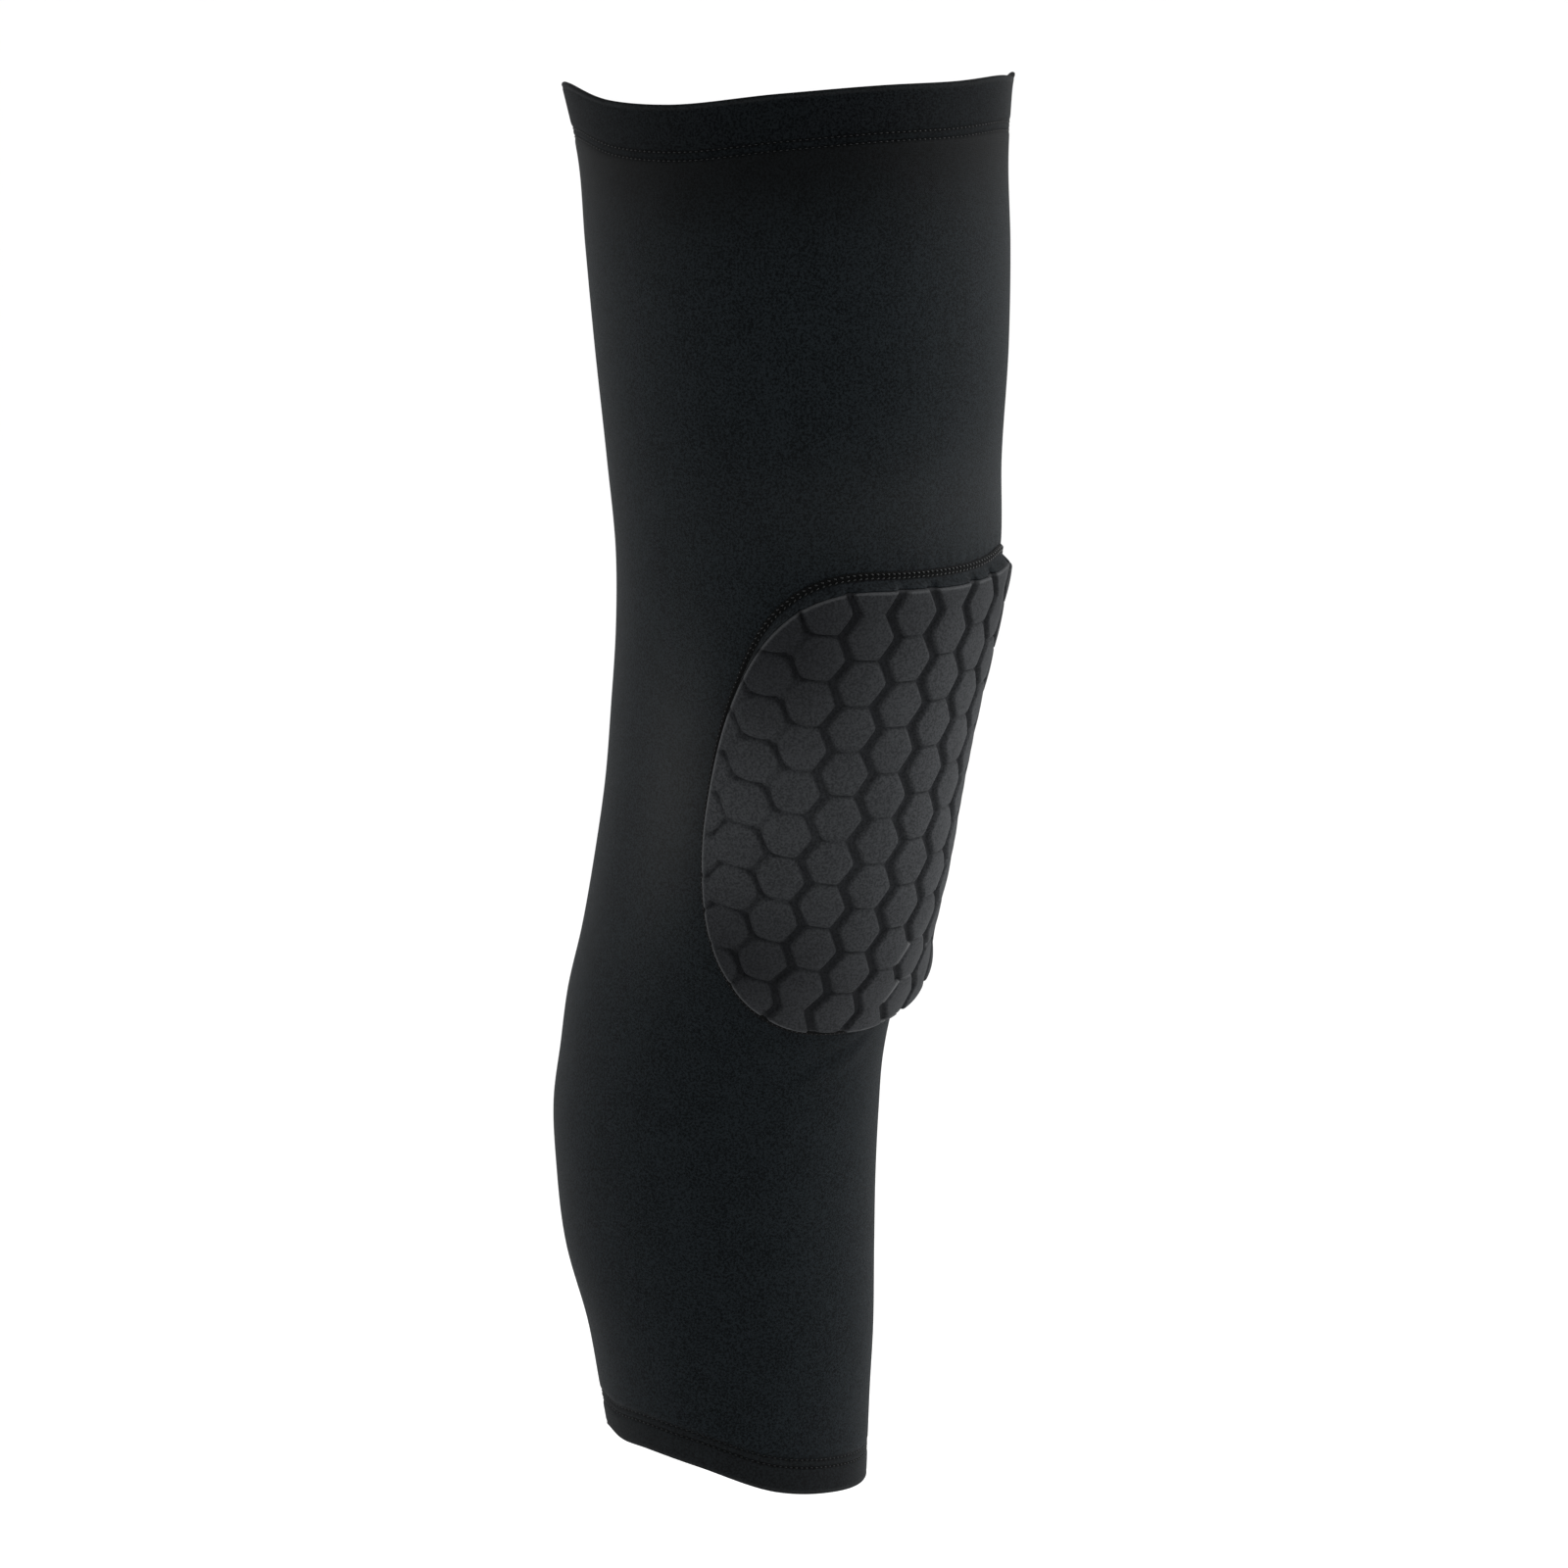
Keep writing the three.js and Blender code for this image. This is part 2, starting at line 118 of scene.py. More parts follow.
# ---------------------------------------------------------------------------------------------------
# Sleeve: one tube of black stretch knit, cut to the leg's shape and held out by the leg. Its knit runs
# up the leg in fine ribs, and it is drawn in a little where the pad and the hems are sewn.
THIGH = {"length": 250 * MM, "width": 145 * MM, "depth": 147 * MM}
KNEE = {"length": 250 * MM, "width": 113 * MM, "depth": 130 * MM}
SHIN = {"length": 260 * MM, "width": 113 * MM, "depth": 130 * MM}
CALF = {"length": 260 * MM, "width": 110 * MM, "depth": 126 * MM}
CUFF = {"length": 260 * MM, "width": 95 * MM, "depth": 103 * MM}
KNIT = 0.8 * MM
TOP_SEWN = 18.3 * MM
BOTTOM_SEWN = 13.2 * MM
SLEEVE_BEARINGS = 330
SLEEVE_ROWS = 260
INNER_ROWS = 16

# The leg's sections from the bottom: the place they follow, height, width and depth as shares of it, and
# how far the middle lies behind the knee's, as a share of the knee's depth
SECTIONS = [
    (CUFF, -1.0, 0.94, 0.924, 0.194),
    (CUFF, -0.88, 1.0, 0.996, 0.218),
    (CUFF, -0.785, 1.055, 1.054, 0.235),
    (CALF, -0.677, 0.967, 0.943, 0.277),
    (CALF, -0.569, 1.0, 0.971, 0.292),
    (CALF, -0.474, 1.005, 0.994, 0.291),
    (CALF, -0.393, 0.996, 0.981, 0.268),
    (CALF, -0.312, 1.004, 0.99, 0.231),
    (SHIN, -0.217, 0.995, 0.978, 0.158),
    (SHIN, -0.108, 1.002, 0.991, 0.096),
    (KNEE, 0.0, 1.009, 0.989, 0.05),
    (KNEE, 0.113, 1.053, 0.995, 0.008),
    (KNEE, 0.225, 1.119, 1.003, -0.037),
    (THIGH, 0.338, 0.921, 0.905, -0.067),
    (THIGH, 0.465, 0.952, 0.918, -0.054),
    (THIGH, 0.62, 0.979, 0.973, -0.043),
    (THIGH, 0.76, 0.999, 0.999, -0.028),
    (THIGH, 0.88, 1.007, 1.012, -0.01),
    (THIGH, 0.986, 1.052, 1.067, 0.015),
]
# Each rim's distance from the knee, by bearing in degrees from the front towards +X
TOP_RIM = [(0, 0.989), (25, 0.992), (48, 0.982), (90, 0.962), (130, 0.944), (170, 0.928), (200, 0.946),
           (222, 0.975), (238, 0.979), (262, 0.962), (282, 0.96), (312, 0.977), (338, 0.987)]
BOTTOM_RIM = [(0, 0.989), (40, 1.003), (65, 1.003), (95, 0.994), (135, 0.974), (175, 0.958), (215, 0.95),
              (238, 0.929), (252, 0.931), (270, 0.928), (295, 0.938), (330, 0.973)]


def smooth_curve(xs, ys):
    """A curve through points. Between two points it eases by 3t^2 - 2t^3, plus a cubic bend that meets the
    slope at both: there the slopes of the two runs, each weighted by the other run. Straight beyond."""
    xs, ys = np.asarray(xs, float), np.asarray(ys, float)
    run = np.diff(xs)
    slope = np.diff(ys) / run
    bend = np.concatenate([[slope[0]],
                           (slope[:-1] * run[1:] + slope[1:] * run[:-1]) / (run[:-1] + run[1:]),
                           [slope[-1]]])

    def at(x):
        x = np.asarray(x, float)
        inside = np.clip(x, xs[0], xs[-1])
        i = np.clip(np.searchsorted(xs, inside, side="right") - 1, 0, len(run) - 1)
        t = (inside - xs[i]) / run[i]
        curve = (ys[i] + t * t * (3 - 2 * t) * run[i] * slope[i]
                 + run[i] * t * (1 - t) * ((1 - t) * bend[i] - t * bend[i + 1]))
        return curve + np.minimum(x - xs[0], 0) * bend[0] + np.maximum(x - xs[-1], 0) * bend[-1]

    return at


section_height = [place["length"] * height for place, height, _, _, _ in SECTIONS]
half_width = smooth_curve(section_height,
                          [place["width"] * width / 2 for place, _, width, _, _ in SECTIONS])
half_depth = smooth_curve(section_height,
                          [place["depth"] * depth / 2 for place, _, _, depth, _ in SECTIONS])
middle = smooth_curve(section_height, [KNEE["depth"] * back for _, _, _, _, back in SECTIONS])


def rim_curve(table, length):
    """A rim's height by bearing in radians: the table's points, repeated a turn before and after."""
    bearings = [bearing + 360 * turn for turn in (-1, 0, 1) for bearing, _ in table]
    heights = [reach * length for _, reach in table] * 3
    curve = smooth_curve(bearings, heights)
    return lambda bearing: curve(np.degrees(bearing) % 360)


top_rim_flat = rim_curve(TOP_RIM, THIGH["length"])
bottom_rim = rim_curve(BOTTOM_RIM, -SHIN["length"])


def hump(x, centre, width):
    """A smooth hump of height 1: exp(-(distance / width)^2)."""
    return np.exp(-((x - centre) / width) ** 2)


def ease(x, low, high):
    """0 up to low, 1 from high on, and 3t^2 - 2t^3 between."""
    t = np.clip((x - low) / (high - low), 0, 1)
    return t * t * (3 - 2 * t)


def on_leg(bearing, height):
    """The leg's section at this height is an ellipse: half its width by the bearing's sine to the side,
    and half its depth by the cosine to the front of its middle."""
    return np.stack([half_width(height) * np.sin(bearing),
                     middle(height) - half_depth(height) * np.cos(bearing),
                     height + 0 * bearing], axis=-1)


def off_leg(bearing, height, out):
    """The point on the leg, moved out along the surface's normal, which is square to a small turn and a
    small climb from there."""
    turn, climb = 1e-3, 0.5 * MM
    around = on_leg(bearing + turn, height) - on_leg(bearing - turn, height)
    upward = on_leg(bearing, height + climb) - on_leg(bearing, height - climb)
    normal = np.cross(around, upward)
    normal = normal / np.linalg.norm(normal, axis=-1, keepdims=True)
    return on_leg(bearing, height) + normal * np.asarray(out)[..., None]


def closed_grid(rows, columns):
    """Faces of a grid of points that closes on itself both ways, as on a ring."""
    i, j = np.meshgrid(np.arange(rows), np.arange(columns), indexing="ij")
    here, over = i * columns + j, ((i + 1) % rows) * columns + j
    here_next, over_next = i * columns + (j + 1) % columns, ((i + 1) % rows) * columns + (j + 1) % columns
    return np.stack([here, here_next, over_next, over], axis=-1).reshape(-1, 4)


def make_piece(name, points, faces, material, uvs=None, marks=None):
    """A mesh object at the origin. faces is one array of corners or more, each with its own number of
    corners to a face. uvs holds two numbers for each corner, and marks holds named values for each
    point."""
    mesh = bpy.data.meshes.new(name)
    points = np.ascontiguousarray(points, dtype=np.float32).reshape(-1, 3)
    kinds = faces if isinstance(faces, list) else [faces]
    corners = np.concatenate([kind.ravel() for kind in kinds]).astype(np.int32)
    sizes = np.concatenate([np.full(len(kind), kind.shape[1]) for kind in kinds])
    starts = np.concatenate([[0], np.cumsum(sizes)[:-1]]).astype(np.int32)
    mesh.vertices.add(len(points))
    mesh.vertices.foreach_set("co", points.ravel())
    mesh.loops.add(len(corners))
    mesh.loops.foreach_set("vertex_index", corners)
    mesh.polygons.add(len(starts))
    mesh.polygons.foreach_set("loop_start", starts)
    mesh.polygons.foreach_set("use_smooth", np.ones(len(starts), dtype=bool))
    mesh.update(calc_edges=True)
    if uvs is not None:
        layer = mesh.uv_layers.new(name="cloth")
        layer.data.foreach_set("uv", np.asarray(uvs, dtype=np.float32).ravel())
    for mark, values in (marks or {}).items():
        attribute = mesh.attributes.new(mark, "FLOAT", "POINT")
        attribute.data.foreach_set("value", np.asarray(values, dtype=np.float32).ravel())
    mesh.materials.append(material)
    piece = bpy.data.objects.new(name, mesh)
    bpy.context.collection.objects.link(piece)
    return piece


def ring_uvs(rows, columns, lengths):
    """Corner UVs of a closed grid whose rows go round the leg: the share of the turn, which runs on to 1
    at the last face, and the length up the cloth in metres at each column."""
    i, j = np.meshgrid(np.arange(rows), np.arange(columns), indexing="ij")
    following = (j + 1) % columns
    share, share_next = i / rows, (i + 1) / rows
    corner = [(share, lengths[j]), (share, lengths[following]),
              (share_next, lengths[following]), (share_next, lengths[j])]
    return np.stack([np.stack(pair, axis=-1) for pair in corner], axis=2).reshape(-1, 2)


def new_node(tree, kind, **values):
    """A node with its settings, and its inputs by name or place. A socket as value is linked."""
    node = tree.nodes.new(kind)
    for name, value in values.items():
        key = name.replace("__", " ")
        if hasattr(node, name) and key not in node.inputs:
            setattr(node, name, value)
            continue
        socket = node.inputs[int(name[1:])] if name[0] == "_" else node.inputs[key]
        if isinstance(value, bpy.types.NodeSocket):
            tree.links.new(value, socket)
        else:
            socket.default_value = value
    return node


def maths(tree, operation, first, second=0.0, third=0.0):
    """One sum on sockets or numbers."""
    return new_node(tree, "ShaderNodeMath", operation=operation, _0=first, _1=second, _2=third).outputs[0]


# The knit: how its loops slant, how much the loops and the grain raise it beside the ribs, how much soft
# patches and the ribs change its tone, and the part of the noise that runs from its dark to its light
LOOP_SLANT = 1.1
LOOP_RISE = 0.35
GRAIN_RISE = 2.2
PATCH_SCALE = 70.0
PATCH_TONE = 0.1
RIB_TONE = 0.03
TONE_RANGE = (0.43, 0.59)
KNIT_BUMP = 0.55
KNIT_ROUGHNESS = 0.78
SHEEN_ROUGHNESS = 0.3
SHEEN_TINT = (0.9, 0.93, 1, 1)


def knit_material(name, dark, light, wales, course, grain, sheen, gloss, relief):
    """Stretch knit: ribs along the wales and a slanted loop on each course raise it, and the yarns' tone
    varies in a fine grain from dark to light, with slow soft patches."""
    material = bpy.data.materials.new(name)
    material.use_nodes = True
    tree = material.node_tree
    shader = tree.nodes["Principled BSDF"]
    place = new_node(tree, "ShaderNodeTexCoord").outputs["Object"]
    uv = new_node(tree, "ShaderNodeUVMap", uv_map="cloth").outputs[0]
    split = new_node(tree, "ShaderNodeSeparateXYZ", _0=uv)
    rib = maths(tree, "MULTIPLY", split.outputs[0], wales)
    within = maths(tree, "ABSOLUTE", maths(tree, "SUBTRACT", maths(tree, "FRACT", rib), 0.5))
    row = maths(tree, "MULTIPLY", split.outputs[1], 1 / course)
    slanted = maths(tree, "ADD", row, maths(tree, "MULTIPLY", within, LOOP_SLANT))
    loop = maths(tree, "SINE", maths(tree, "MULTIPLY", slanted, 2 * math.pi))
    ridge = maths(tree, "SINE", maths(tree, "MULTIPLY", within, 2 * math.pi))
    fine = new_node(tree, "ShaderNodeTexNoise", Vector=place, Scale=grain, Detail=3.0, Roughness=0.65)
    slow = new_node(tree, "ShaderNodeTexNoise", Vector=place, Scale=PATCH_SCALE, Detail=2.0, Roughness=0.5)
    weave = maths(tree, "MULTIPLY_ADD", loop, LOOP_RISE, ridge)
    height = maths(tree, "MULTIPLY_ADD", fine.outputs[0], GRAIN_RISE, weave)
    bump = new_node(tree, "ShaderNodeBump", Strength=KNIT_BUMP, Distance=relief, Height=height)
    tree.links.new(bump.outputs[0], shader.inputs["Normal"])
    tone = maths(tree, "MULTIPLY", fine.outputs[0], 1 - PATCH_TONE)
    tone = maths(tree, "MULTIPLY_ADD", slow.outputs[0], PATCH_TONE, tone)
    tone = maths(tree, "MULTIPLY_ADD", weave, RIB_TONE, tone)
    ramp = new_node(tree, "ShaderNodeValToRGB", _0=tone)
    for end, position, colour in zip(ramp.color_ramp.elements, TONE_RANGE, (dark, light)):
        end.position = position
        end.color = (*colour, 1)
    tree.links.new(ramp.outputs[0], shader.inputs["Base Color"])
    shader.inputs["Roughness"].default_value = KNIT_ROUGHNESS
    shader.inputs["Specular IOR Level"].default_value = gloss
    shader.inputs["Sheen Weight"].default_value = sheen
    shader.inputs["Sheen Roughness"].default_value = SHEEN_ROUGHNESS
    shader.inputs["Sheen Tint"].default_value = SHEEN_TINT
    return material


def tinted(material, mark, blend, colour):
    """The cloth's colour is blended with another as far as the mark on the mesh says."""
    tree = material.node_tree
    base = tree.nodes["Principled BSDF"].inputs["Base Color"]
    amount = new_node(tree, "ShaderNodeAttribute", attribute_name=mark).outputs["Fac"]
    mix = new_node(tree, "ShaderNodeMixRGB", blend_type=blend, Color1=base.links[0].from_socket,
                   Color2=(*colour, 1))
    tree.links.new(amount, mix.inputs[0])
    tree.links.new(mix.outputs[0], base)


WALES = 560
COURSE = 0.56 * MM
YARN_GRAIN = 1300.0
KNIT_RELIEF = 0.07 * MM
sleeve_knit = knit_material("black_stretch_knit", (0.0001, 0.0007, 0.0011), (0.0053, 0.0075, 0.0090),
                            wales=WALES, course=COURSE, grain=YARN_GRAIN, sheen=0.020, gloss=0.06,
                            relief=KNIT_RELIEF)
# Paler where the knit is stretched; on the hems the same mark also adds painted highlights
tinted(sleeve_knit, "stretch_and_painted_highlight", "ADD", (0.0100, 0.0098, 0.0096))
# Painted shade: at the sewn rows for their needle holes, and in a band under the top hem
tinted(sleeve_knit, "painted_shade", "MULTIPLY", (0.12, 0.12, 0.12))

# The top rim curls up and out in one short stretch, over the side of the knee that faces +X
CURL_BEARING = math.radians(47)
CURL_SPREAD = math.radians(5.2)
CURL_RISE = 2.2 * MM
CURL_OUT = 1.2 * MM


def top_rim(bearing):
    """The top rim with the short curl: its table, and a hump at the curl's bearing."""
    turn = (np.asarray(bearing) + math.pi) % (2 * math.pi) - math.pi
    return top_rim_flat(bearing) + CURL_RISE * hump(turn, CURL_BEARING, CURL_SPREAD)


# The two needle rows of each hem, measured from the rim, how they draw the cloth in, and how wide the
# painted shade of their needle holes is
TOP_NEEDLES = (15.5 * MM, TOP_SEWN)
BOTTOM_NEEDLES = (10.2 * MM, BOTTOM_SEWN)
NEEDLE_PINCH = 0.45 * MM
PINCH_WIDTH = 1.1 * MM
NEEDLE_SHADE = 0.42 * MM


def sewn_in(from_rim, needles):
    """How far the needle rows draw the cloth in: a narrow hump at each row."""
    return -NEEDLE_PINCH * sum(hump(from_rim, row, PINCH_WIDTH) for row in needles)


# Worn folds: short puckers that the pad's top seam gathers, some wider than others, and one slanted
# crease under the pad with a swell below it
PUCKER_FOOT = 86 * MM
PUCKER_CLIMB = 5.6 * MM
PUCKER_DEPTH = 0.12 * MM
PUCKER_REACH = 4.5 * MM
PUCKER_COUNT = 74
PUCKER_MIDDLE = 1.5 * MM
PUCKER_SPREAD = 1.0
PUCKER_SHIFT = 1.7
PUCKER_SHIFTS = 5
CREASE_LOW = (math.radians(-22), -97 * MM)
CREASE_HIGH = (math.radians(8), -87.5 * MM)
CREASE_DEPTH = 0.7 * MM
CREASE_WIDTH = 2.2 * MM
CREASE_FADE = 0.12
SWELL_SHARE = 0.7
SWELL_WIDTH = 1.6 * CREASE_WIDTH


def folds(bearing, height):
    """How far the worn folds raise the cloth. Puckers: a wave round the knee over the seam, whose height
    fades upwards and to both sides. Crease: a valley along a slanted line, with a swell below it."""
    above = height - PUCKER_FOOT - PUCKER_CLIMB * (1 - np.cos(bearing))
    wave = np.sin(PUCKER_COUNT * bearing + PUCKER_SHIFT * np.sin(PUCKER_SHIFTS * bearing))
    puckers = PUCKER_DEPTH * wave * hump(above, PUCKER_MIDDLE, PUCKER_REACH)
    puckers = puckers * hump(bearing, 0, PUCKER_SPREAD)
    slope = (CREASE_HIGH[1] - CREASE_LOW[1]) / (CREASE_HIGH[0] - CREASE_LOW[0])
    over = height - CREASE_LOW[1] - slope * (bearing - CREASE_LOW[0])
    along = ease(bearing, CREASE_LOW[0] - CREASE_FADE, CREASE_LOW[0] + CREASE_FADE)
    along = along * (1 - ease(bearing, CREASE_HIGH[0] - CREASE_FADE, CREASE_HIGH[0] + CREASE_FADE))
    crease = CREASE_DEPTH * along * (SWELL_SHARE * hump(over, -2 * CREASE_WIDTH, SWELL_WIDTH)
                                     - hump(over, 0, CREASE_WIDTH))
    return puckers + crease


# The flank of the knee beside the pad is where the knit is stretched most, and paler for it, and a
# little so above the pad. Painted shade darkens a band under the top hem, and the sewn rows.
STRETCH_BEARING = math.radians(-84)
STRETCH_SPREAD = math.radians(17)
STRETCH_HEIGHT = 7 * MM
STRETCH_REACH = 52 * MM
ABOVE_PAD = 106 * MM
ABOVE_PAD_SHARE = 0.36
ABOVE_PAD_SPREAD = 1.2
ABOVE_PAD_REACH = 22 * MM
UNDER_HEM_SHADE = 0.8
UNDER_HEM_REACH = 26 * MM
SEWN_SHARE = 0.5
SLEEVE_CLOTH = 480 * MM

bearing = (2 * math.pi * np.arange(SLEEVE_BEARINGS) / SLEEVE_BEARINGS)[:, None]
turned = (bearing + math.pi) % (2 * math.pi) - math.pi
share = np.linspace(0, 1, SLEEVE_ROWS)[None, :]
low, high = bottom_rim(bearing) + BOTTOM_SEWN, top_rim(bearing) - TOP_SEWN
height = low + (high - low) * share
from_top, from_bottom = top_rim(bearing) - height, height - bottom_rim(bearing)
out = sewn_in(from_top, TOP_NEEDLES) + sewn_in(from_bottom, BOTTOM_NEEDLES) + folds(turned, height)
outside = off_leg(bearing, height, out)
stretch_and_painted_highlight = sum(hump(turned, side * STRETCH_BEARING, STRETCH_SPREAD) for side in (-1, 1))
stretch_and_painted_highlight = stretch_and_painted_highlight * hump(height, STRETCH_HEIGHT, STRETCH_REACH)
above_pad = hump(turned, 0, ABOVE_PAD_SPREAD) * hump(height, ABOVE_PAD, ABOVE_PAD_REACH)
stretch_and_painted_highlight = stretch_and_painted_highlight + ABOVE_PAD_SHARE * above_pad
# Painted shade of the needle holes along each sewn row, and of a band under the top hem
painted_shade = hump(from_top, TOP_SEWN, NEEDLE_SHADE) + hump(from_bottom, BOTTOM_SEWN, NEEDLE_SHADE)
painted_shade = np.maximum(SEWN_SHARE * painted_shade, UNDER_HEM_SHADE * hump(from_top, TOP_SEWN, UNDER_HEM_REACH))
inner_share = np.linspace(1, 0, INNER_ROWS)[None, :]
inner_height = low + (high - low) * inner_share
inside = off_leg(bearing, inner_height, -KNIT - NEEDLE_PINCH + 0 * inner_height)
sleeve_points = np.concatenate([outside, inside], axis=1)
columns = SLEEVE_ROWS + INNER_ROWS
lengths = SLEEVE_CLOTH * np.concatenate([share[0], inner_share[0]])
unmarked = np.zeros((SLEEVE_BEARINGS, INNER_ROWS))
sleeve = make_piece("sleeve", sleeve_points, closed_grid(SLEEVE_BEARINGS, columns), sleeve_knit,
                    ring_uvs(SLEEVE_BEARINGS, columns, lengths),
                    {"stretch_and_painted_highlight": np.concatenate([stretch_and_painted_highlight, unmarked], axis=1),
                     "painted_shade": np.concatenate([painted_shade, unmarked], axis=1)})
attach(sleeve, "root")
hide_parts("sleeve")


# ---------------------------------------------------------------------------------------------------
# Hems: the sleeve's own knit turned inwards at both rims and sewn down with two needle rows. Each is a
# fold of two layers, and its inner layer laps a little behind the sleeve.
HEM_BEARINGS = 330
HEM_LAP = 3.5 * MM
HEM_DEPTH = 2.0 * MM
HEM_LAP_THICK = 0.7 * MM
TOP_SIGN, BOTTOM_SIGN = -1, 1

# The fold swells into a slight bead along the rim, with a painted highlight on top and painted shade at
# the very edge. A painted highlight lies over the curl, and the hem is paler all round where the calf
# holds it taut.
BEAD_FROM_RIM = 1.7 * MM
BEAD_RISE = 0.18 * MM
BEAD_WIDTH = 0.45 * MM
HIGHLIGHT_FROM_RIM = 1.2 * MM
HIGHLIGHT_WIDTH = 0.5 * MM
HIGHLIGHT_SHARE = 0.5
RIM_SHADE = 0.8
RIM_SHADE_WIDTH = 0.45 * MM
CURL_HIGHLIGHT = math.radians(48)
CURL_HIGHLIGHT_SPREAD = math.radians(18)
CURL_DEPTH = 8 * MM
BOTTOM_TAUT = 0.3

hem_knit = knit_material("black_hem_knit", (0.0000, 0.0003, 0.0006), (0.0034, 0.0046, 0.0054),
                         wales=WALES, course=COURSE, grain=YARN_GRAIN, sheen=0.013, gloss=0.035,
                         relief=KNIT_RELIEF)
# Paler where the hem is taut, plus painted highlights on the bead and over the curl
tinted(hem_knit, "stretch_and_painted_highlight", "ADD", (0.0100, 0.0100, 0.0100))
# Painted shade at the needle rows and at the fold's very edge
tinted(hem_knit, "painted_shade", "MULTIPLY", (0.10, 0.10, 0.10))


def hem_section(width, needles):
    """The hem's section, as distance from the rim and depth under the outer face: up the outer layer,
    round the fold by a half circle, down the turned layer, and back up its hidden face."""
    radius = HEM_DEPTH / 2
    outer = np.linspace(width, radius, 40)
    outer_depth = BEAD_RISE * hump(outer, BEAD_FROM_RIM, BEAD_WIDTH) - sewn_in(outer, needles)
    fold = np.linspace(0, math.pi, 12)[1:-1]
    inner = np.linspace(radius, width + HEM_LAP, 14)
    hidden = np.linspace(width + HEM_LAP, width, 4)
    from_rim = np.concatenate([outer, radius - radius * np.sin(fold), inner, hidden])
    depth = np.concatenate([outer_depth, radius - radius * np.cos(fold), 0 * inner + HEM_DEPTH,
                            0 * hidden + HEM_DEPTH - HEM_LAP_THICK])
    return from_rim, depth


def hem_piece(name, rim, sign, width, needles, lift, taut):
    """The hem's section carried round the rim. Taut says how far the leg stretches it, and so how pale."""
    from_rim, depth = hem_section(width, needles)
    around = (2 * math.pi * np.arange(HEM_BEARINGS) / HEM_BEARINGS)[:, None]
    heights = rim(around) + sign * from_rim[None, :]
    turn = (around + math.pi) % (2 * math.pi) - math.pi
    flare = lift * hump(turn, CURL_BEARING, CURL_SPREAD)
    flare = flare * np.clip(1 - from_rim / CURL_DEPTH, 0, 1)[None, :] ** 2
    points = off_leg(around, heights, flare - depth[None, :])
    in_sight = depth < 0.8 * HEM_DEPTH
    # Painted shade of the needle holes, and along the fold's very edge
    painted_shade = sum(hump(from_rim, row, NEEDLE_SHADE) for row in needles)
    painted_shade = (painted_shade + RIM_SHADE * (from_rim < RIM_SHADE_WIDTH)) * in_sight + 0 * around
    # Painted highlight on the bead's top and over the curl, added to the paleness of a taut hem
    stretch_and_painted_highlight = taut + HIGHLIGHT_SHARE * hump(from_rim, HIGHLIGHT_FROM_RIM, HIGHLIGHT_WIDTH) * in_sight + 0 * around
    stretch_and_painted_highlight = stretch_and_painted_highlight + hump(turn, CURL_HIGHLIGHT, CURL_HIGHLIGHT_SPREAD)
    faces = closed_grid(HEM_BEARINGS, len(from_rim))
    uvs = ring_uvs(HEM_BEARINGS, len(from_rim), from_rim)
    if sign > 0:
        faces, uvs = faces[:, ::-1], uvs.reshape(-1, 4, 2)[:, ::-1]
    piece = make_piece(name, points, faces, hem_knit, uvs,
                       {"painted_shade": painted_shade, "stretch_and_painted_highlight": stretch_and_painted_highlight})
    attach(piece, "root")
    return piece


top_hem = hem_piece("top_hem", top_rim, TOP_SIGN, TOP_SEWN, TOP_NEEDLES, CURL_OUT, 0)
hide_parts("top_hem")
bottom_hem = hem_piece("bottom_hem", bottom_rim, BOTTOM_SIGN, BOTTOM_SEWN, BOTTOM_NEEDLES, 0,
                       BOTTOM_TAUT)
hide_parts("bottom_hem")

# Needle thread: each stitch is a short rounded length of thread that lies in the drawn-in row
STITCH_PITCH = 2.1 * MM
STITCH_LENGTH = 1.1 * MM
STITCH_RISE = 0.15 * MM
STITCH_SIDES = 6
STITCH_RINGS = 5
STITCH_DIP = 0.8
THREAD = 0.42 * MM


def thread_material(name, dark, light, gloss):
    """Twisted thread: its tone runs from dark to light with the fine twist."""
    material = bpy.data.materials.new(name)
    material.use_nodes = True
    tree = material.node_tree
    shader = tree.nodes["Principled BSDF"]
    place = new_node(tree, "ShaderNodeTexCoord").outputs["Object"]
    twist = new_node(tree, "ShaderNodeTexNoise", Vector=place, Scale=4000.0, Detail=2.0)
    ramp = new_node(tree, "ShaderNodeValToRGB", _0=twist.outputs[0])
    ramp.color_ramp.elements[0].color = (*dark, 1)
    ramp.color_ramp.elements[1].color = (*light, 1)
    tree.links.new(ramp.outputs[0], shader.inputs["Base Color"])
    shader.inputs["Roughness"].default_value = 0.45
    shader.inputs["Specular IOR Level"].default_value = gloss
    return material


needle_thread = thread_material("black_needle_thread", (0.001, 0.0013, 0.0016),
                                (0.007, 0.0078, 0.0085), gloss=0.14)


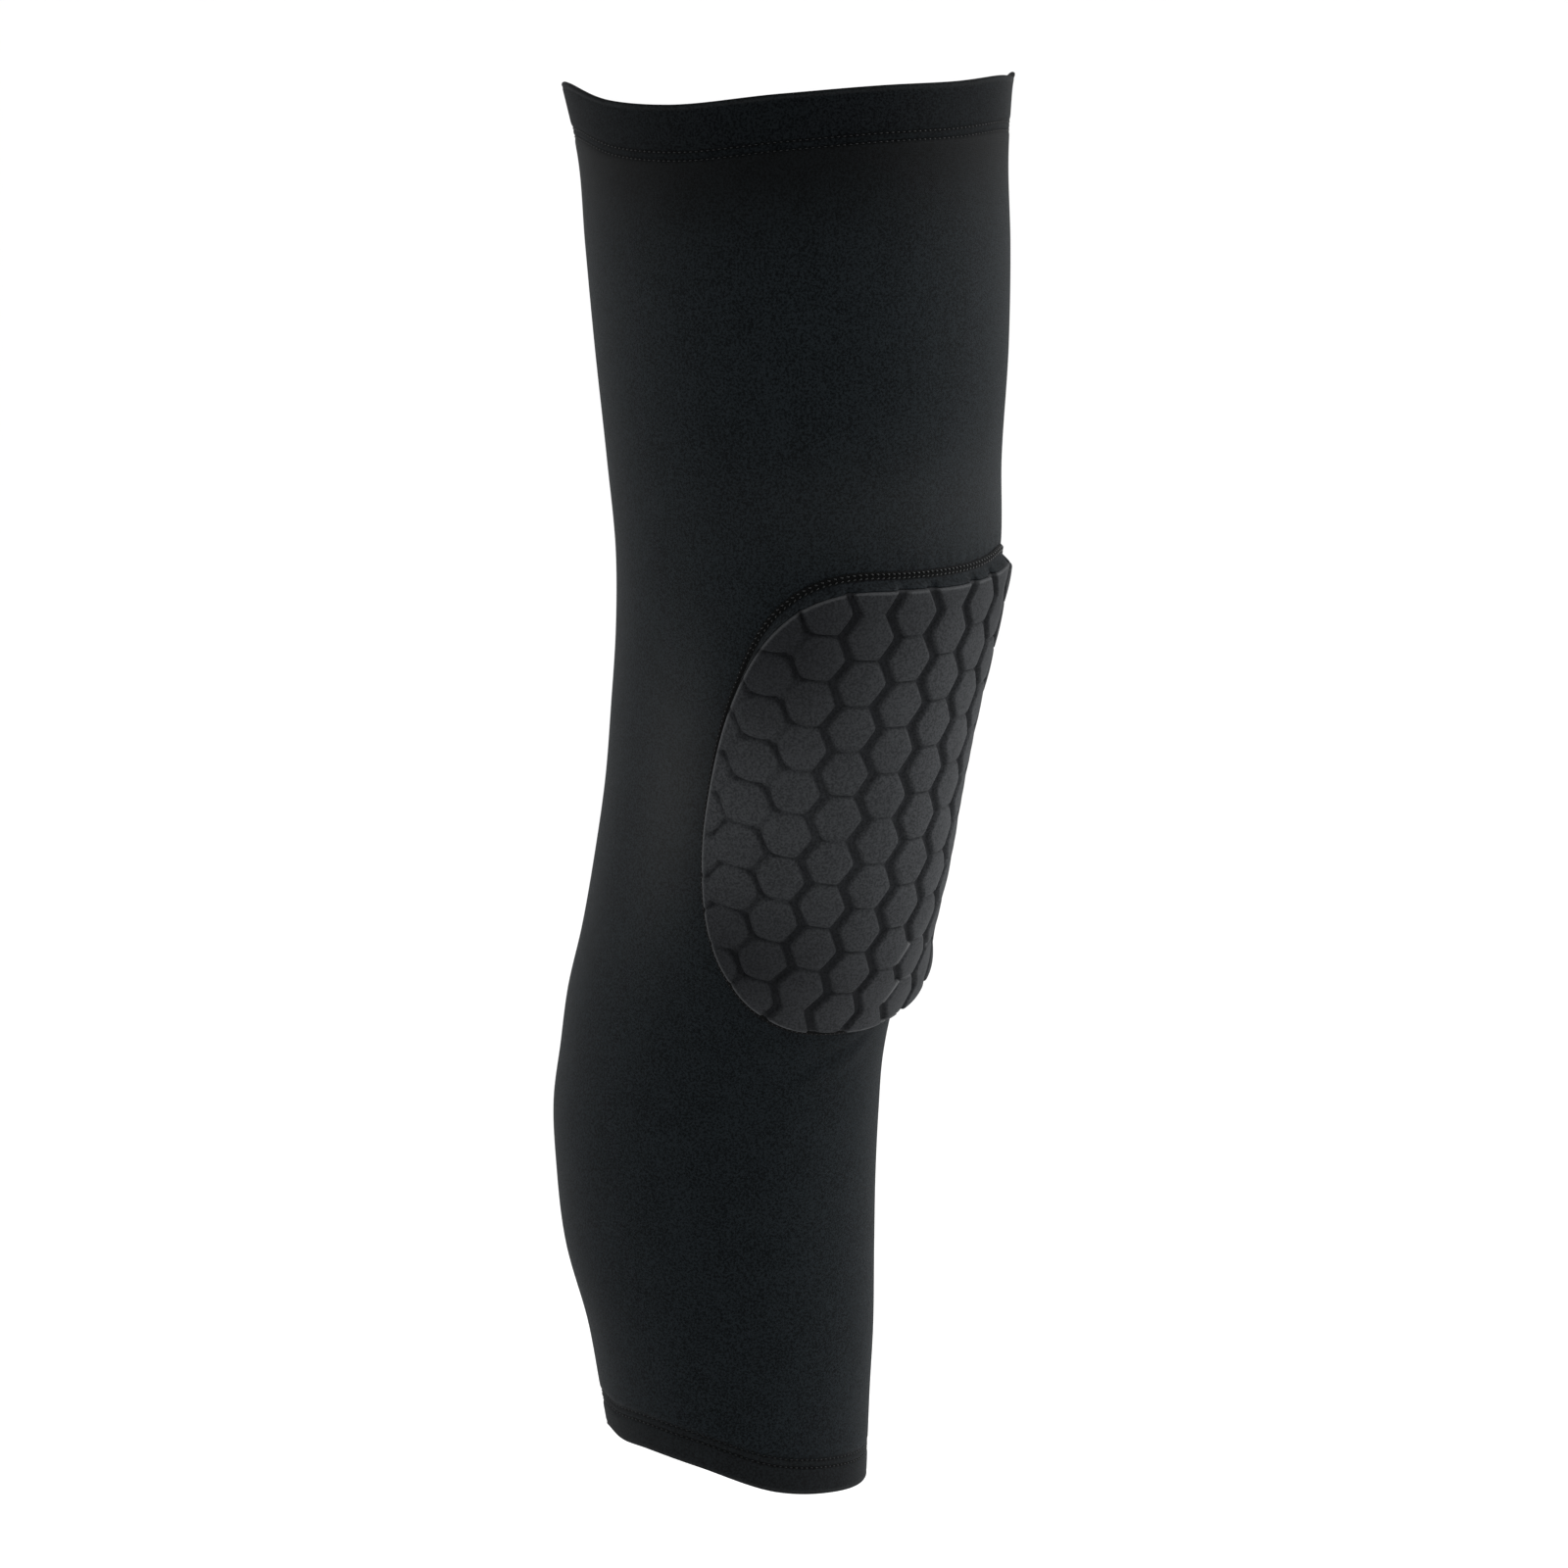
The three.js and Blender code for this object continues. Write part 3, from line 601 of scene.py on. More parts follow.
def stitch_rope(name, centres, along, outward, length, thick, material):
    """Many short threads at once. Each is a spindle: round it, the six-sided ring's radius is the
    thread's half width by the square root of the sine of the share of its length; it lies along its
    row, and its ends dip into the cloth."""
    lie = np.linspace(0, math.pi, STITCH_RINGS + 2)[1:-1]
    swell = np.sqrt(np.sin(lie))[None, :, None, None] * thick / 2
    run = (-np.cos(lie) * length / 2)[None, :, None, None]
    dip = ((np.sin(lie) - 1) * thick * STITCH_DIP)[None, :, None, None]
    turn = 2 * math.pi * np.arange(STITCH_SIDES) / STITCH_SIDES
    along = along / np.linalg.norm(along, axis=-1, keepdims=True)
    outward = outward - along * (outward * along).sum(-1, keepdims=True)
    outward = outward / np.linalg.norm(outward, axis=-1, keepdims=True)
    sideways = np.cross(along, outward)
    tube = (along[:, None, None] * run + outward[:, None, None] * (dip + swell * np.cos(turn)[:, None])
            + sideways[:, None, None] * swell * np.sin(turn)[:, None])
    ring_points = centres[:, None, None] + tube
    tips = centres[:, None] + along[:, None] * (np.array([-1, 1]) * length / 2)[None, :, None] \
        - outward[:, None] * thick * STITCH_DIP
    count = STITCH_RINGS * STITCH_SIDES
    points = np.concatenate([ring_points.reshape(len(centres), count, 3), tips], axis=1)
    i, j = np.meshgrid(np.arange(STITCH_RINGS - 1), np.arange(STITCH_SIDES), indexing="ij")
    following = (j + 1) % STITCH_SIDES
    here, over = i * STITCH_SIDES, (i + 1) * STITCH_SIDES
    walls = np.stack([here + j, here + following, over + following, over + j], axis=-1).reshape(-1, 4)
    k = np.arange(STITCH_SIDES)
    k_next = (k + 1) % STITCH_SIDES
    last = count - STITCH_SIDES
    tip_low = np.stack([k_next, k, 0 * k + count], axis=-1)
    tip_high = np.stack([last + k, last + k_next, 0 * k + count + 1], axis=-1)
    triangles = np.concatenate([walls[:, [0, 1, 2]], walls[:, [0, 2, 3]], tip_low, tip_high])
    offsets = (np.arange(len(centres)) * (count + 2))[:, None, None]
    piece = make_piece(name, points, (triangles[None] + offsets).reshape(-1, 3), material)
    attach(piece, "root")
    return piece


def even_bearings(heights_at, pitch):
    """Bearings round the leg that lie one pitch apart along a line given by its height."""
    fine = np.linspace(0, 2 * math.pi, 4001)
    line = off_leg(fine, heights_at(fine), 0 * fine)
    travelled = np.concatenate([[0], np.cumsum(np.linalg.norm(np.diff(line, axis=0), axis=1))])
    count = int(round(travelled[-1] / pitch))
    return np.interp(np.arange(count) * travelled[-1] / count, travelled, fine)


def needle_row(name, rim, sign, row):
    """One needle row round a hem."""
    heights_at = lambda around: rim(around) + sign * row
    around = even_bearings(heights_at, STITCH_PITCH)
    level = STITCH_RISE - NEEDLE_PINCH + 0 * around
    onward = around + 5e-3
    centres = off_leg(around, heights_at(around), level)
    along = off_leg(onward, heights_at(onward), level) - centres
    outward = off_leg(around, heights_at(around), level + MM) - centres
    piece = stitch_rope(name, centres, along, outward, STITCH_LENGTH, THREAD, needle_thread)
    return piece


hem_stitches = [
    needle_row("top_hem_stitches_upper", top_rim, TOP_SIGN, TOP_NEEDLES[0]),
    needle_row("top_hem_stitches_lower", top_rim, TOP_SIGN, TOP_NEEDLES[1]),
    needle_row("bottom_hem_stitches_lower", bottom_rim, BOTTOM_SIGN, BOTTOM_NEEDLES[0]),
    needle_row("bottom_hem_stitches_upper", bottom_rim, BOTTOM_SIGN, BOTTOM_NEEDLES[1]),
]


# ---------------------------------------------------------------------------------------------------
# Knee pad: closed-cell foam under a charcoal knit cover, moulded into upright columns of six-sided cells.
# The slanted grooves are wide and dark, the level ones are fine, and all fade out towards its sides.
PAD_WIDTH = 159.6 * MM
PAD_TOP = 82 * MM
PAD_BOTTOM = -86 * MM
PAD_THICK = 5 * MM
GROOVE_DEPTH = 1.6 * MM
CELL_FLATS = 15.8 * MM
SIDE_GROOVE = 2.6 * MM
FLAT_GROOVE = 1.0 * MM
PAD_CLEAR = 0.3 * MM
PAD_ROWS = 296
PAD_COLUMNS = 296
BACK_RINGS = 10

# How the pad lies: how steeply it climbs towards its sides at the top and bottom, and how its right side
# is drawn up at the top and stands off the shin at the bottom
TOP_RISE = 0.08
BOTTOM_RISE = 0.38
CORNER_LIFT = 2.4 * MM
LIFT_ASIDE = 50 * MM
LIFT_SPREAD = 22 * MM
CORNER_BULGE = 4.4 * MM
CORNER = (52 * MM, -81 * MM)
CORNER_SPREAD = (22 * MM, 13 * MM)

front_heights = np.arange(-150, 150.1, 2) * MM
front_points = off_leg(0 * front_heights, front_heights, PAD_THICK + 0 * front_heights)
front_run = np.concatenate([[0], np.cumsum(np.linalg.norm(np.diff(front_points, axis=0), axis=1))])
front_run = front_run - np.interp(0, front_heights, front_run)
front_line = smooth_curve(front_run, front_heights)


def bearing_at(run, height):
    """The bearing reached by going round the pad's face for a length at one height: the ellipse is walked
    in small equal turns until each run is used up."""
    turn = 0.02
    across, along = half_width(height) + PAD_THICK, half_depth(height) + PAD_THICK
    reached = np.zeros(np.broadcast(run, height).shape)
    left = np.abs(run) + reached
    for _ in range(90):
        stride = turn * np.hypot(across * np.cos(reached + turn / 2), along * np.sin(reached + turn / 2))
        used = np.clip(left / stride, 0, 1)
        reached = reached + turn * used
        left = left - stride * used
    return np.sign(run) * reached


def pad_place(u, v):
    """Bearing and height of a point of the pad, u round the knee and v up it: it climbs towards the
    sides by a slope on the depth gone back, which is steep at the bottom and slight at the top, and its
    top is drawn up a little on the side that faces +X."""
    start = front_line(v)
    upshare = np.clip((v - PAD_BOTTOM) / (PAD_TOP - PAD_BOTTOM), 0, 1)
    rise = BOTTOM_RISE + (TOP_RISE - BOTTOM_RISE) * upshare
    height = start
    drawn_up = CORNER_LIFT * upshare ** 3 * hump(u, LIFT_ASIDE, LIFT_SPREAD)
    for _ in range(4):
        bearing = bearing_at(u, height)
        height = start + drawn_up + rise * (half_depth(height) + PAD_THICK) * (1 - np.cos(bearing))
    return bearing, height


def bezier(a, b, c, d, t):
    """A curve by four control points."""
    return a * (1 - t) ** 3 + 3 * b * t * (1 - t) ** 2 + 3 * c * t ** 2 * (1 - t) + d * t ** 3


def pad_side():
    """The pad's right outline from the top's flat to the bottom's, evenly spaced: one curve from the top
    to the waist and one from the waist to the bottom."""
    half, waist = PAD_WIDTH / 2, 0.1 * PAD_BOTTOM
    t = np.linspace(0, 1, 400)
    upper = waist + 0.8 * (PAD_TOP - waist)
    lower = waist + 0.69 * (PAD_BOTTOM - waist)
    u = np.concatenate([bezier(0.4 * half, 0.78 * half, half, half, t),
                        bezier(half, half, 0.75 * half, 0.25 * half, t)[1:]])
    v = np.concatenate([bezier(PAD_TOP, PAD_TOP, upper, waist, t),
                        bezier(waist, lower, PAD_BOTTOM, PAD_BOTTOM, t)[1:]])
    travelled = np.concatenate([[0], np.cumsum(np.hypot(np.diff(u), np.diff(v)))])
    even = np.linspace(0, travelled[-1], PAD_ROWS)
    return np.interp(even, travelled, u), np.interp(even, travelled, v)


# The cells' outline. Aside is a place's share of the way from the pad's middle to its side: a pair gives
# where a change with it starts and where it is full.
CELL_TURN = math.pi / 6
CELL_SWAY = 0.35 * MM
SWAY_ASIDE = (9 * MM, 17 * MM)
SWAY_UP = (11 * MM, 29 * MM)
GROOVE_WIDEN = 0.75 * MM
WIDE_FADE = (0.42, 0.75)
GROOVE_THIN = 0.6 * MM
THIN_FADE = (0.8, 0.95)
LEVEL_WIDEN = 0.25 * MM
TIP_ROUND = 0.8 * MM
CORNER_ROUND = 0.8 * MM
SIDE_ROUND = 2.0 * MM
ROUND_FADE = (0.5, 0.85)
ROUND_BACK = 0.15
SIDE_BLEND = 0.8 * MM
LEAN_BLEND = 8 * MM ** 2


def cell_edge(u, v):
    """How far a point lies outside the nearest cell's face, negative inside it, with how level the
    nearest side is and how far that side falls towards the pad's middle, both from 0 to 1. The point is
    first swayed by slow waves. The distance is the greater of those past the level and the slanted
    sides, rounded where they meet, and more so at the pad's sides. Every other column lies half a cell
    lower, and where the pad's top or bottom cuts such a column's cell, it is one with the next cell
    inwards."""
    row = CELL_FLATS + FLAT_GROOVE
    slope_across, slope_up = math.cos(CELL_TURN), math.sin(CELL_TURN)
    column = (CELL_FLATS + SIDE_GROOVE - row / 2 * slope_up) / slope_across
    aside = np.abs(u) / (PAD_WIDTH / 2)
    u, v = (u + CELL_SWAY * np.sin(v / SWAY_ASIDE[0] + u / SWAY_ASIDE[1]),
            v + CELL_SWAY * np.sin(u / SWAY_UP[0] - v / SWAY_UP[1]))
    blunt = SIDE_ROUND * ease(aside, *ROUND_FADE)
    widen = GROOVE_WIDEN * (1 - ease(aside, *WIDE_FADE)) - GROOVE_THIN * ease(aside, *THIN_FADE)
    nearest = np.full(u.shape, 1.0)
    levelness, falling = np.zeros(u.shape), np.zeros(u.shape)
    for step in (0, 1):
        index = np.floor(u / column) + step
        lower = np.where(index % 2 == 0, row / 2, 0)
        first = PAD_TOP + FLAT_GROOVE / 2 + row / 2 - lower
        k = np.round((first - v) / row)
        for beside in (-1, 0, 1):
            centre = first - (k + beside) * row
            across, up = u - index * column, v - centre
            joined_up = (np.abs(centre + row - PAD_TOP) < row / 3) & (v > centre)
            joined_up |= (np.abs(centre - PAD_BOTTOM) < row / 3) & (v > centre)
            joined_down = (np.abs(centre - PAD_TOP) < row / 3) & (v < centre)
            joined_down |= (np.abs(centre - row - PAD_BOTTOM) < row / 3) & (v < centre)
            past_top = (centre > PAD_TOP - row / 3) & (v > centre)
            past_bottom = (centre < PAD_BOTTOM + row / 3) & (v < centre)
            open_level = joined_up | joined_down | past_top | past_bottom
            level = np.where(open_level, -1.0, np.abs(up) - CELL_FLATS / 2 + LEVEL_WIDEN)
            slanted = np.abs(across) * slope_across + np.hypot(up, TIP_ROUND + blunt) * slope_up
            slanted = slanted - CELL_FLATS / 2 + widen - ROUND_BACK * blunt
            edge = (level + slanted + np.hypot(level - slanted, CORNER_ROUND + blunt)) / 2
            edge = edge - ROUND_BACK * blunt
            nearer = edge < nearest
            nearest = np.where(nearer, edge, nearest)
            levelness = np.where(nearer, ease(level - slanted, -SIDE_BLEND, SIDE_BLEND), levelness)
            lean = -np.sign(u) * across * up
            falling = np.where(nearer, ease(lean, -LEAN_BLEND, LEAN_BLEND), falling)
    return nearest, levelness, falling


def patch(u, v, middle, spread):
    """A smooth round patch of the pad: a hump across it times a hump up it."""
    return hump(u, middle[0], spread[0]) * hump(v, middle[1], spread[1])


# The relief. Each pair for a kind of groove gives where it fades out towards the pad's sides.
FACE_LOSS = 0.3 * MM
GROOVE_START = -0.05 * MM
GROOVE_FLOOR = 1.25 * MM
BELOW_KNEE = (-12 * MM, -4 * MM)
FALLING_FADE = (0.78, 0.9)
FALLING_LOSS = (0.25, 0.75)
CLIMBING_FADE = (0.56, 0.76)
CLIMBING_BACK = (0.8, 0.9)
CLIMBING_LOSS = (0.75, -0.3)
LEVEL_FADE = (0.72, 0.84)
LEVEL_LOSS = (0.1, 0.45)
RIM_FADE = (0.965, 0.99)
CORNER_FADE = 0.7
CORNER_FADE_SPREAD = (14 * MM, 13 * MM)
CUSHION = 0.35 * MM
CUSHION_FADE = (0.8, 0.97)

# Low on the right, two falling grooves are pressed flat, and leave thin raised ridges that turn the
# corner, lit by a painted highlight
FLAT_TOP = (-50 * MM, -44 * MM)
FLAT_FALLING = (12 * MM, 8 * MM)
FLAT_LOSS = 0.75
RIDGE_RISE = 0.3 * MM
FALLING_RIDGE = (2 * MM, 0.5 * MM)
RIDGE_TURN = (22 * MM, 7 * MM)
LEVEL_RIDGE = (0.5 * MM, 0.3 * MM)


def pad_relief(u, v):
    """Height of the pad's face over the sleeve, how much of it is groove, and how much is a lit ridge.
    The grooves sink by an eased step at each cell's edge. Near the pad's sides the ones that climb
    towards its middle fade out first, and below the knee the ones that fall towards it; each cell's face
    is a low cushion."""
    edge, levelness, falling = cell_edge(u, v)
    aside = np.abs(u) / (PAD_WIDTH / 2)
    below = 1 - ease(v, *BELOW_KNEE)
    falling_kept = 1 - ease(aside, *FALLING_FADE) * (FALLING_LOSS[0] + FALLING_LOSS[1] * below)
    climbing_kept = 1 - ease(aside, *CLIMBING_FADE) * (CLIMBING_LOSS[0] + CLIMBING_LOSS[1] * below)
    climbing_kept = climbing_kept - CLIMBING_LOSS[1] * below * ease(aside, *CLIMBING_BACK)
    level_kept = 1 - ease(aside, *LEVEL_FADE) * (LEVEL_LOSS[0] + LEVEL_LOSS[1] * below)
    low = 1 - ease(v, *FLAT_TOP)
    flattened = hump(u, *FLAT_FALLING) * low
    falling_kept = falling_kept * (1 - FLAT_LOSS * flattened)
    slanted_kept = falling_kept * falling + climbing_kept * (1 - falling)
    kept = level_kept * levelness + slanted_kept * (1 - levelness)
    kept = kept * (1 - ease(aside, *RIM_FADE))
    kept = kept * (1 - CORNER_FADE * patch(u, v, CORNER, CORNER_FADE_SPREAD))
    groove = ease(edge, GROOVE_START, GROOVE_FLOOR) * kept
    # The ridge mark raises the face a little and also carries a painted highlight
    ridge = flattened * falling * (1 - levelness) * hump(edge, *FALLING_RIDGE)
    ridge = ridge + low * hump(u, *RIDGE_TURN) * levelness * hump(edge, *LEVEL_RIDGE)
    cushion = np.clip(-edge / (CELL_FLATS / 2), 0, 1)
    cushion = (1 - (1 - cushion) ** 2) * CUSHION * (1 - ease(aside, *CUSHION_FADE))
    bulge = CORNER_BULGE * patch(u, v, CORNER, CORNER_SPREAD)
    height = PAD_THICK - FACE_LOSS + cushion + bulge - GROOVE_DEPTH * groove + RIDGE_RISE * ridge
    return height, groove, ridge


# The columns crowd a little towards both sides, where the face turns down over the foam's edge
SIDE_CROWD = 0.055
side_u, side_v = pad_side()
even = np.linspace(-1, 1, PAD_COLUMNS)[:, None]
across = (1 + SIDE_CROWD) * even - SIDE_CROWD * even ** 15
pad_u = across * side_u[None, :]
pad_v = side_v[None, :] + 0 * across
relief, groove, ridge = pad_relief(pad_u, pad_v)

# Painted shade darkens the cover at both sides above and below the knee, and along the top and the
# bottom, there less so to the right of the middle. The painted shade in its grooves is lighter over the
# kneecap's side.
SHADE_SIDES = [
    {"share": 0.85, "middle": (66 * MM, 54 * MM), "spread": (34 * MM, 32 * MM)},
    {"share": 0.6, "middle": (60 * MM, -62 * MM), "spread": (34 * MM, 28 * MM)},
]
SHADE_TOP = 0.45
TOP_PLACE = (84 * MM, 26 * MM)
SHADE_BOTTOM = 0.36
BOTTOM_PLACE = (-74 * MM, 34 * MM)
SPARED_SHARE = 0.7
SPARED_PLACE = (26 * MM, 14 * MM)
KNEECAP_PALE = 0.35
KNEECAP_SIDE = (-38 * MM, 2 * MM)
KNEECAP_SPREAD = (34 * MM, 32 * MM)
painted_cover_shade = sum(place["share"] * patch(np.abs(pad_u), pad_v, place["middle"], place["spread"])
            for place in SHADE_SIDES)
painted_cover_shade = painted_cover_shade + SHADE_TOP * hump(pad_v, *TOP_PLACE)
painted_cover_shade = painted_cover_shade + SHADE_BOTTOM * hump(pad_v, *BOTTOM_PLACE) * (1 - SPARED_SHARE * hump(pad_u, *SPARED_PLACE))
# Painted shade in the grooves, lighter over the kneecap's side
painted_groove_shade = groove * (1 - KNEECAP_PALE * patch(pad_u, pad_v, KNEECAP_SIDE, KNEECAP_SPREAD))

# The cover turns down over the foam's edge in a quarter round
EDGE_ROUND = 1.1 * MM
EDGE_DROP = 0.8 * MM
CREST_IN = 0.5 * MM
CREST_WIDTH = 0.45 * MM
CREST_LOSS = 0.7
steep = np.abs(np.gradient(side_v) / np.hypot(np.gradient(side_u), np.gradient(side_v)))
from_edge = np.minimum.reduce([(1 - np.abs(across)) * (side_u * steep)[None, :], PAD_TOP - pad_v,
                               pad_v - PAD_BOTTOM])
past = 1 - np.clip(from_edge / EDGE_ROUND, 0, 1)
face_out = relief - EDGE_DROP * (1 - np.sqrt(1 - past ** 2))
# A painted highlight along the crest where the cover turns down over the foam's edge, weaker over grooves
painted_crest_highlight = hump(from_edge, CREST_IN, CREST_WIDTH) * (1 - CREST_LOSS * groove)

pad_bearing, pad_height = pad_place(pad_u, pad_v)
face_points = off_leg(pad_bearing, pad_height, face_out)
order = np.arange(PAD_COLUMNS * PAD_ROWS).reshape(PAD_COLUMNS, PAD_ROWS)
face_quads = np.stack([order[:-1, :-1], order[:-1, 1:], order[1:, 1:], order[1:, :-1]], -1).reshape(-1, 4)

# Down the edge all round, and under the foam in rings towards its middle
loop = np.concatenate([order[-1, :-1], order[:0:-1, -1], order[0, :0:-1], order[:-1, 0]])
loop_u, loop_v = pad_u.ravel()[loop], pad_v.ravel()[loop]
waist_v = (PAD_TOP + PAD_BOTTOM) / 2
shrink = np.linspace(1, 0, BACK_RINGS + 1)[:-1, None]
back_u, back_v = loop_u * shrink, waist_v + (loop_v - waist_v) * shrink
back_bearing, back_height = pad_place(back_u, back_v)
back_points = off_leg(back_bearing, back_height, PAD_CLEAR + 0 * back_u)
centre_bearing, centre_height = pad_place(np.zeros(1), np.full(1, waist_v))
centre_point = off_leg(centre_bearing, centre_height, PAD_CLEAR + 0 * centre_bearing)
rings = np.concatenate([loop[None], order.size + np.arange(back_u.size).reshape(back_u.shape)])
rings_on = np.roll(rings, -1, axis=1)
back_quads = np.stack([rings[:-1], rings_on[:-1], rings_on[1:], rings[1:]], axis=-1).reshape(-1, 4)
centre = order.size + back_u.size
back_fan = np.stack([rings[-1], rings_on[-1], np.full(len(loop), centre)], axis=-1)

pad_points = np.concatenate([face_points.reshape(-1, 3), back_points.reshape(-1, 3), centre_point])
flat = np.concatenate([np.stack([pad_u, pad_v], -1).reshape(-1, 2),
                       np.stack([back_u, back_v], -1).reshape(-1, 2), [[0, waist_v]]])
pad_faces = [np.concatenate([face_quads, back_quads]), back_fan]
pad_corners = np.concatenate([kind.ravel() for kind in pad_faces])
under = np.zeros(back_u.size + 1)

COVER_SLANT = math.radians(42)
COVER_WALE = 0.75 * MM
COVER_COURSE = 0.6 * MM
COVER_RELIEF = 0.05 * MM
slanted_flat = flat @ np.array([[math.cos(COVER_SLANT), -math.sin(COVER_SLANT)],
                                [math.sin(COVER_SLANT), math.cos(COVER_SLANT)]])


def cover_material(name):
    """The pad's charcoal cover: a fine knit laid on a slant. Painted shade darkens it in the grooves, and
    painted highlights lighten it on the crest and the ridges."""
    material = knit_material(name, (0.0128, 0.0136, 0.0148), (0.0272, 0.0287, 0.0308),
                             wales=1 / COVER_WALE, course=COVER_COURSE, grain=YARN_GRAIN, sheen=0.024,
                             gloss=0.07, relief=COVER_RELIEF)
    # Painted shade at the cover's sides, top and bottom
    tinted(material, "painted_cover_shade", "MULTIPLY", (0.35, 0.36, 0.38))
    # Painted shade in the grooves
    tinted(material, "groove", "MULTIPLY", (0.45, 0.46, 0.48))
    # Painted highlight on the crest
    tinted(material, "crest", "ADD", (0.019, 0.0194, 0.0198))
    # Painted highlight on the ridges
    tinted(material, "ridge", "ADD", (0.06, 0.061, 0.062))
    return material


pad_cover = cover_material("charcoal_pad_cover")
knee_pad = make_piece("knee_pad", pad_points, pad_faces, pad_cover, slanted_flat[pad_corners],
                      {"groove": np.concatenate([painted_groove_shade.ravel(), under]),
                       "painted_cover_shade": np.concatenate([painted_cover_shade.ravel(), under]),
                       "crest": np.concatenate([painted_crest_highlight.ravel(), under]),
                       "ridge": np.concatenate([ridge.ravel(), under])})
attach(knee_pad, "root")
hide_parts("knee_pad")


# ---------------------------------------------------------------------------------------------------
# Border: the strip of knit that runs down over the foam's edge to the seam, a long ramp along the top
# and a short steep one round the sides and bottom. Its flat outer band is sewn to the sleeve.
TOP_RAMP = 3.2 * MM
SIDE_RAMP = 0.8 * MM
TOP_BAND = 2.9 * MM
SIDE_BAND = 1.9 * MM
BAND_THICK = 0.35 * MM
BORDER_GAP = 0.12 * MM
BORDER_UNDER = 0.1 * MM
BORDER_POINTS = 660
BORDER_STEP = 0.8 * MM
RAMP_EASE = 0.45
BAND_TURN = 0.25 * MM
BORDER_GRAIN = 950.0
SEWN_BLEND = (0.4 * MM, 0.3 * MM)
SIDE_SHADE = 0.5


def full_outline(count):
    """The pad's whole outline as seen from the front, evenly spaced: down the right side, along the
    bottom, up the left side and along the top."""
    u = np.concatenate([side_u, -side_u[::-1], side_u[:1]])
    v = np.concatenate([side_v, side_v[::-1], side_v[:1]])
    travelled = np.concatenate([[0], np.cumsum(np.hypot(np.diff(u), np.diff(v)))])
    even = np.arange(count) * travelled[-1] / count
    return np.interp(even, travelled, u), np.interp(even, travelled, v)


def outwards(u, v):
    """The outline's outward direction at each point: its direction turned a quarter."""
    du, dv = np.roll(u, -1) - np.roll(u, 1), np.roll(v, -1) - np.roll(v, 1)
    size = np.hypot(du, dv)
    return -dv / size, du / size


def along_top(v, at_side, at_top):
    """A width that is one value along the pad's top and another from the knee down."""
    return at_side + (at_top - at_side) * ease(v, PAD_TOP / 2, PAD_TOP)


def on_border(u, v, away, out):
    """A point of the border: the outline's point moved outwards in the cloth, at a height over it."""
    out_u, out_v = outwards(u, v)
    place = pad_place(u[:, None] + out_u[:, None] * away, v[:, None] + out_v[:, None] * away)
    return off_leg(*place, out)


edge_u, edge_v = full_outline(BORDER_POINTS)
edge_relief = pad_relief(edge_u, edge_v)[0]
crest = edge_relief - EDGE_DROP
width = along_top(edge_v, SIDE_RAMP, TOP_RAMP)[:, None]
band = along_top(edge_v, SIDE_BAND, TOP_BAND)[:, None]
q = np.linspace(0, 1, 9)[None, :]
ramp_away = BORDER_GAP + (width - BORDER_GAP) * q
ramp_shape = (1 - RAMP_EASE) * q + RAMP_EASE * ease(q, 0, 1)
ramp_out = crest[:, None] + (BAND_THICK + PAD_CLEAR - crest[:, None]) * ramp_shape
b = np.linspace(0, 1, 6)[None, 1:]
band_away = width + band * b
band_out = (PAD_CLEAR + BAND_THICK) + 0 * band_away - BAND_TURN * b ** 4
under_away = np.concatenate([width + band, BORDER_GAP + 0 * width], axis=1)
under_out = 0 * under_away + BORDER_UNDER
border_away = np.concatenate([ramp_away, band_away, under_away], axis=1)
border_out = np.concatenate([ramp_out, band_out, under_out], axis=1)
border_points = on_border(edge_u, edge_v, border_away, border_out)
border_columns = border_away.shape[1]
border_faces = closed_grid(BORDER_POINTS, border_columns)
border_run = np.arange(BORDER_POINTS)[:, None] * BORDER_STEP + 0 * border_away
border_flat = np.stack([border_run, border_away], axis=-1).reshape(-1, 2)
# Painted shade of the sunk seam: the sewn band darker, and the whole border darker along the sides
seam_band_shade = ease(border_away, width - SEWN_BLEND[0], width + SEWN_BLEND[1])
seam_band_shade = seam_band_shade + SIDE_SHADE * (1 - ease(width, SIDE_RAMP, TOP_RAMP))
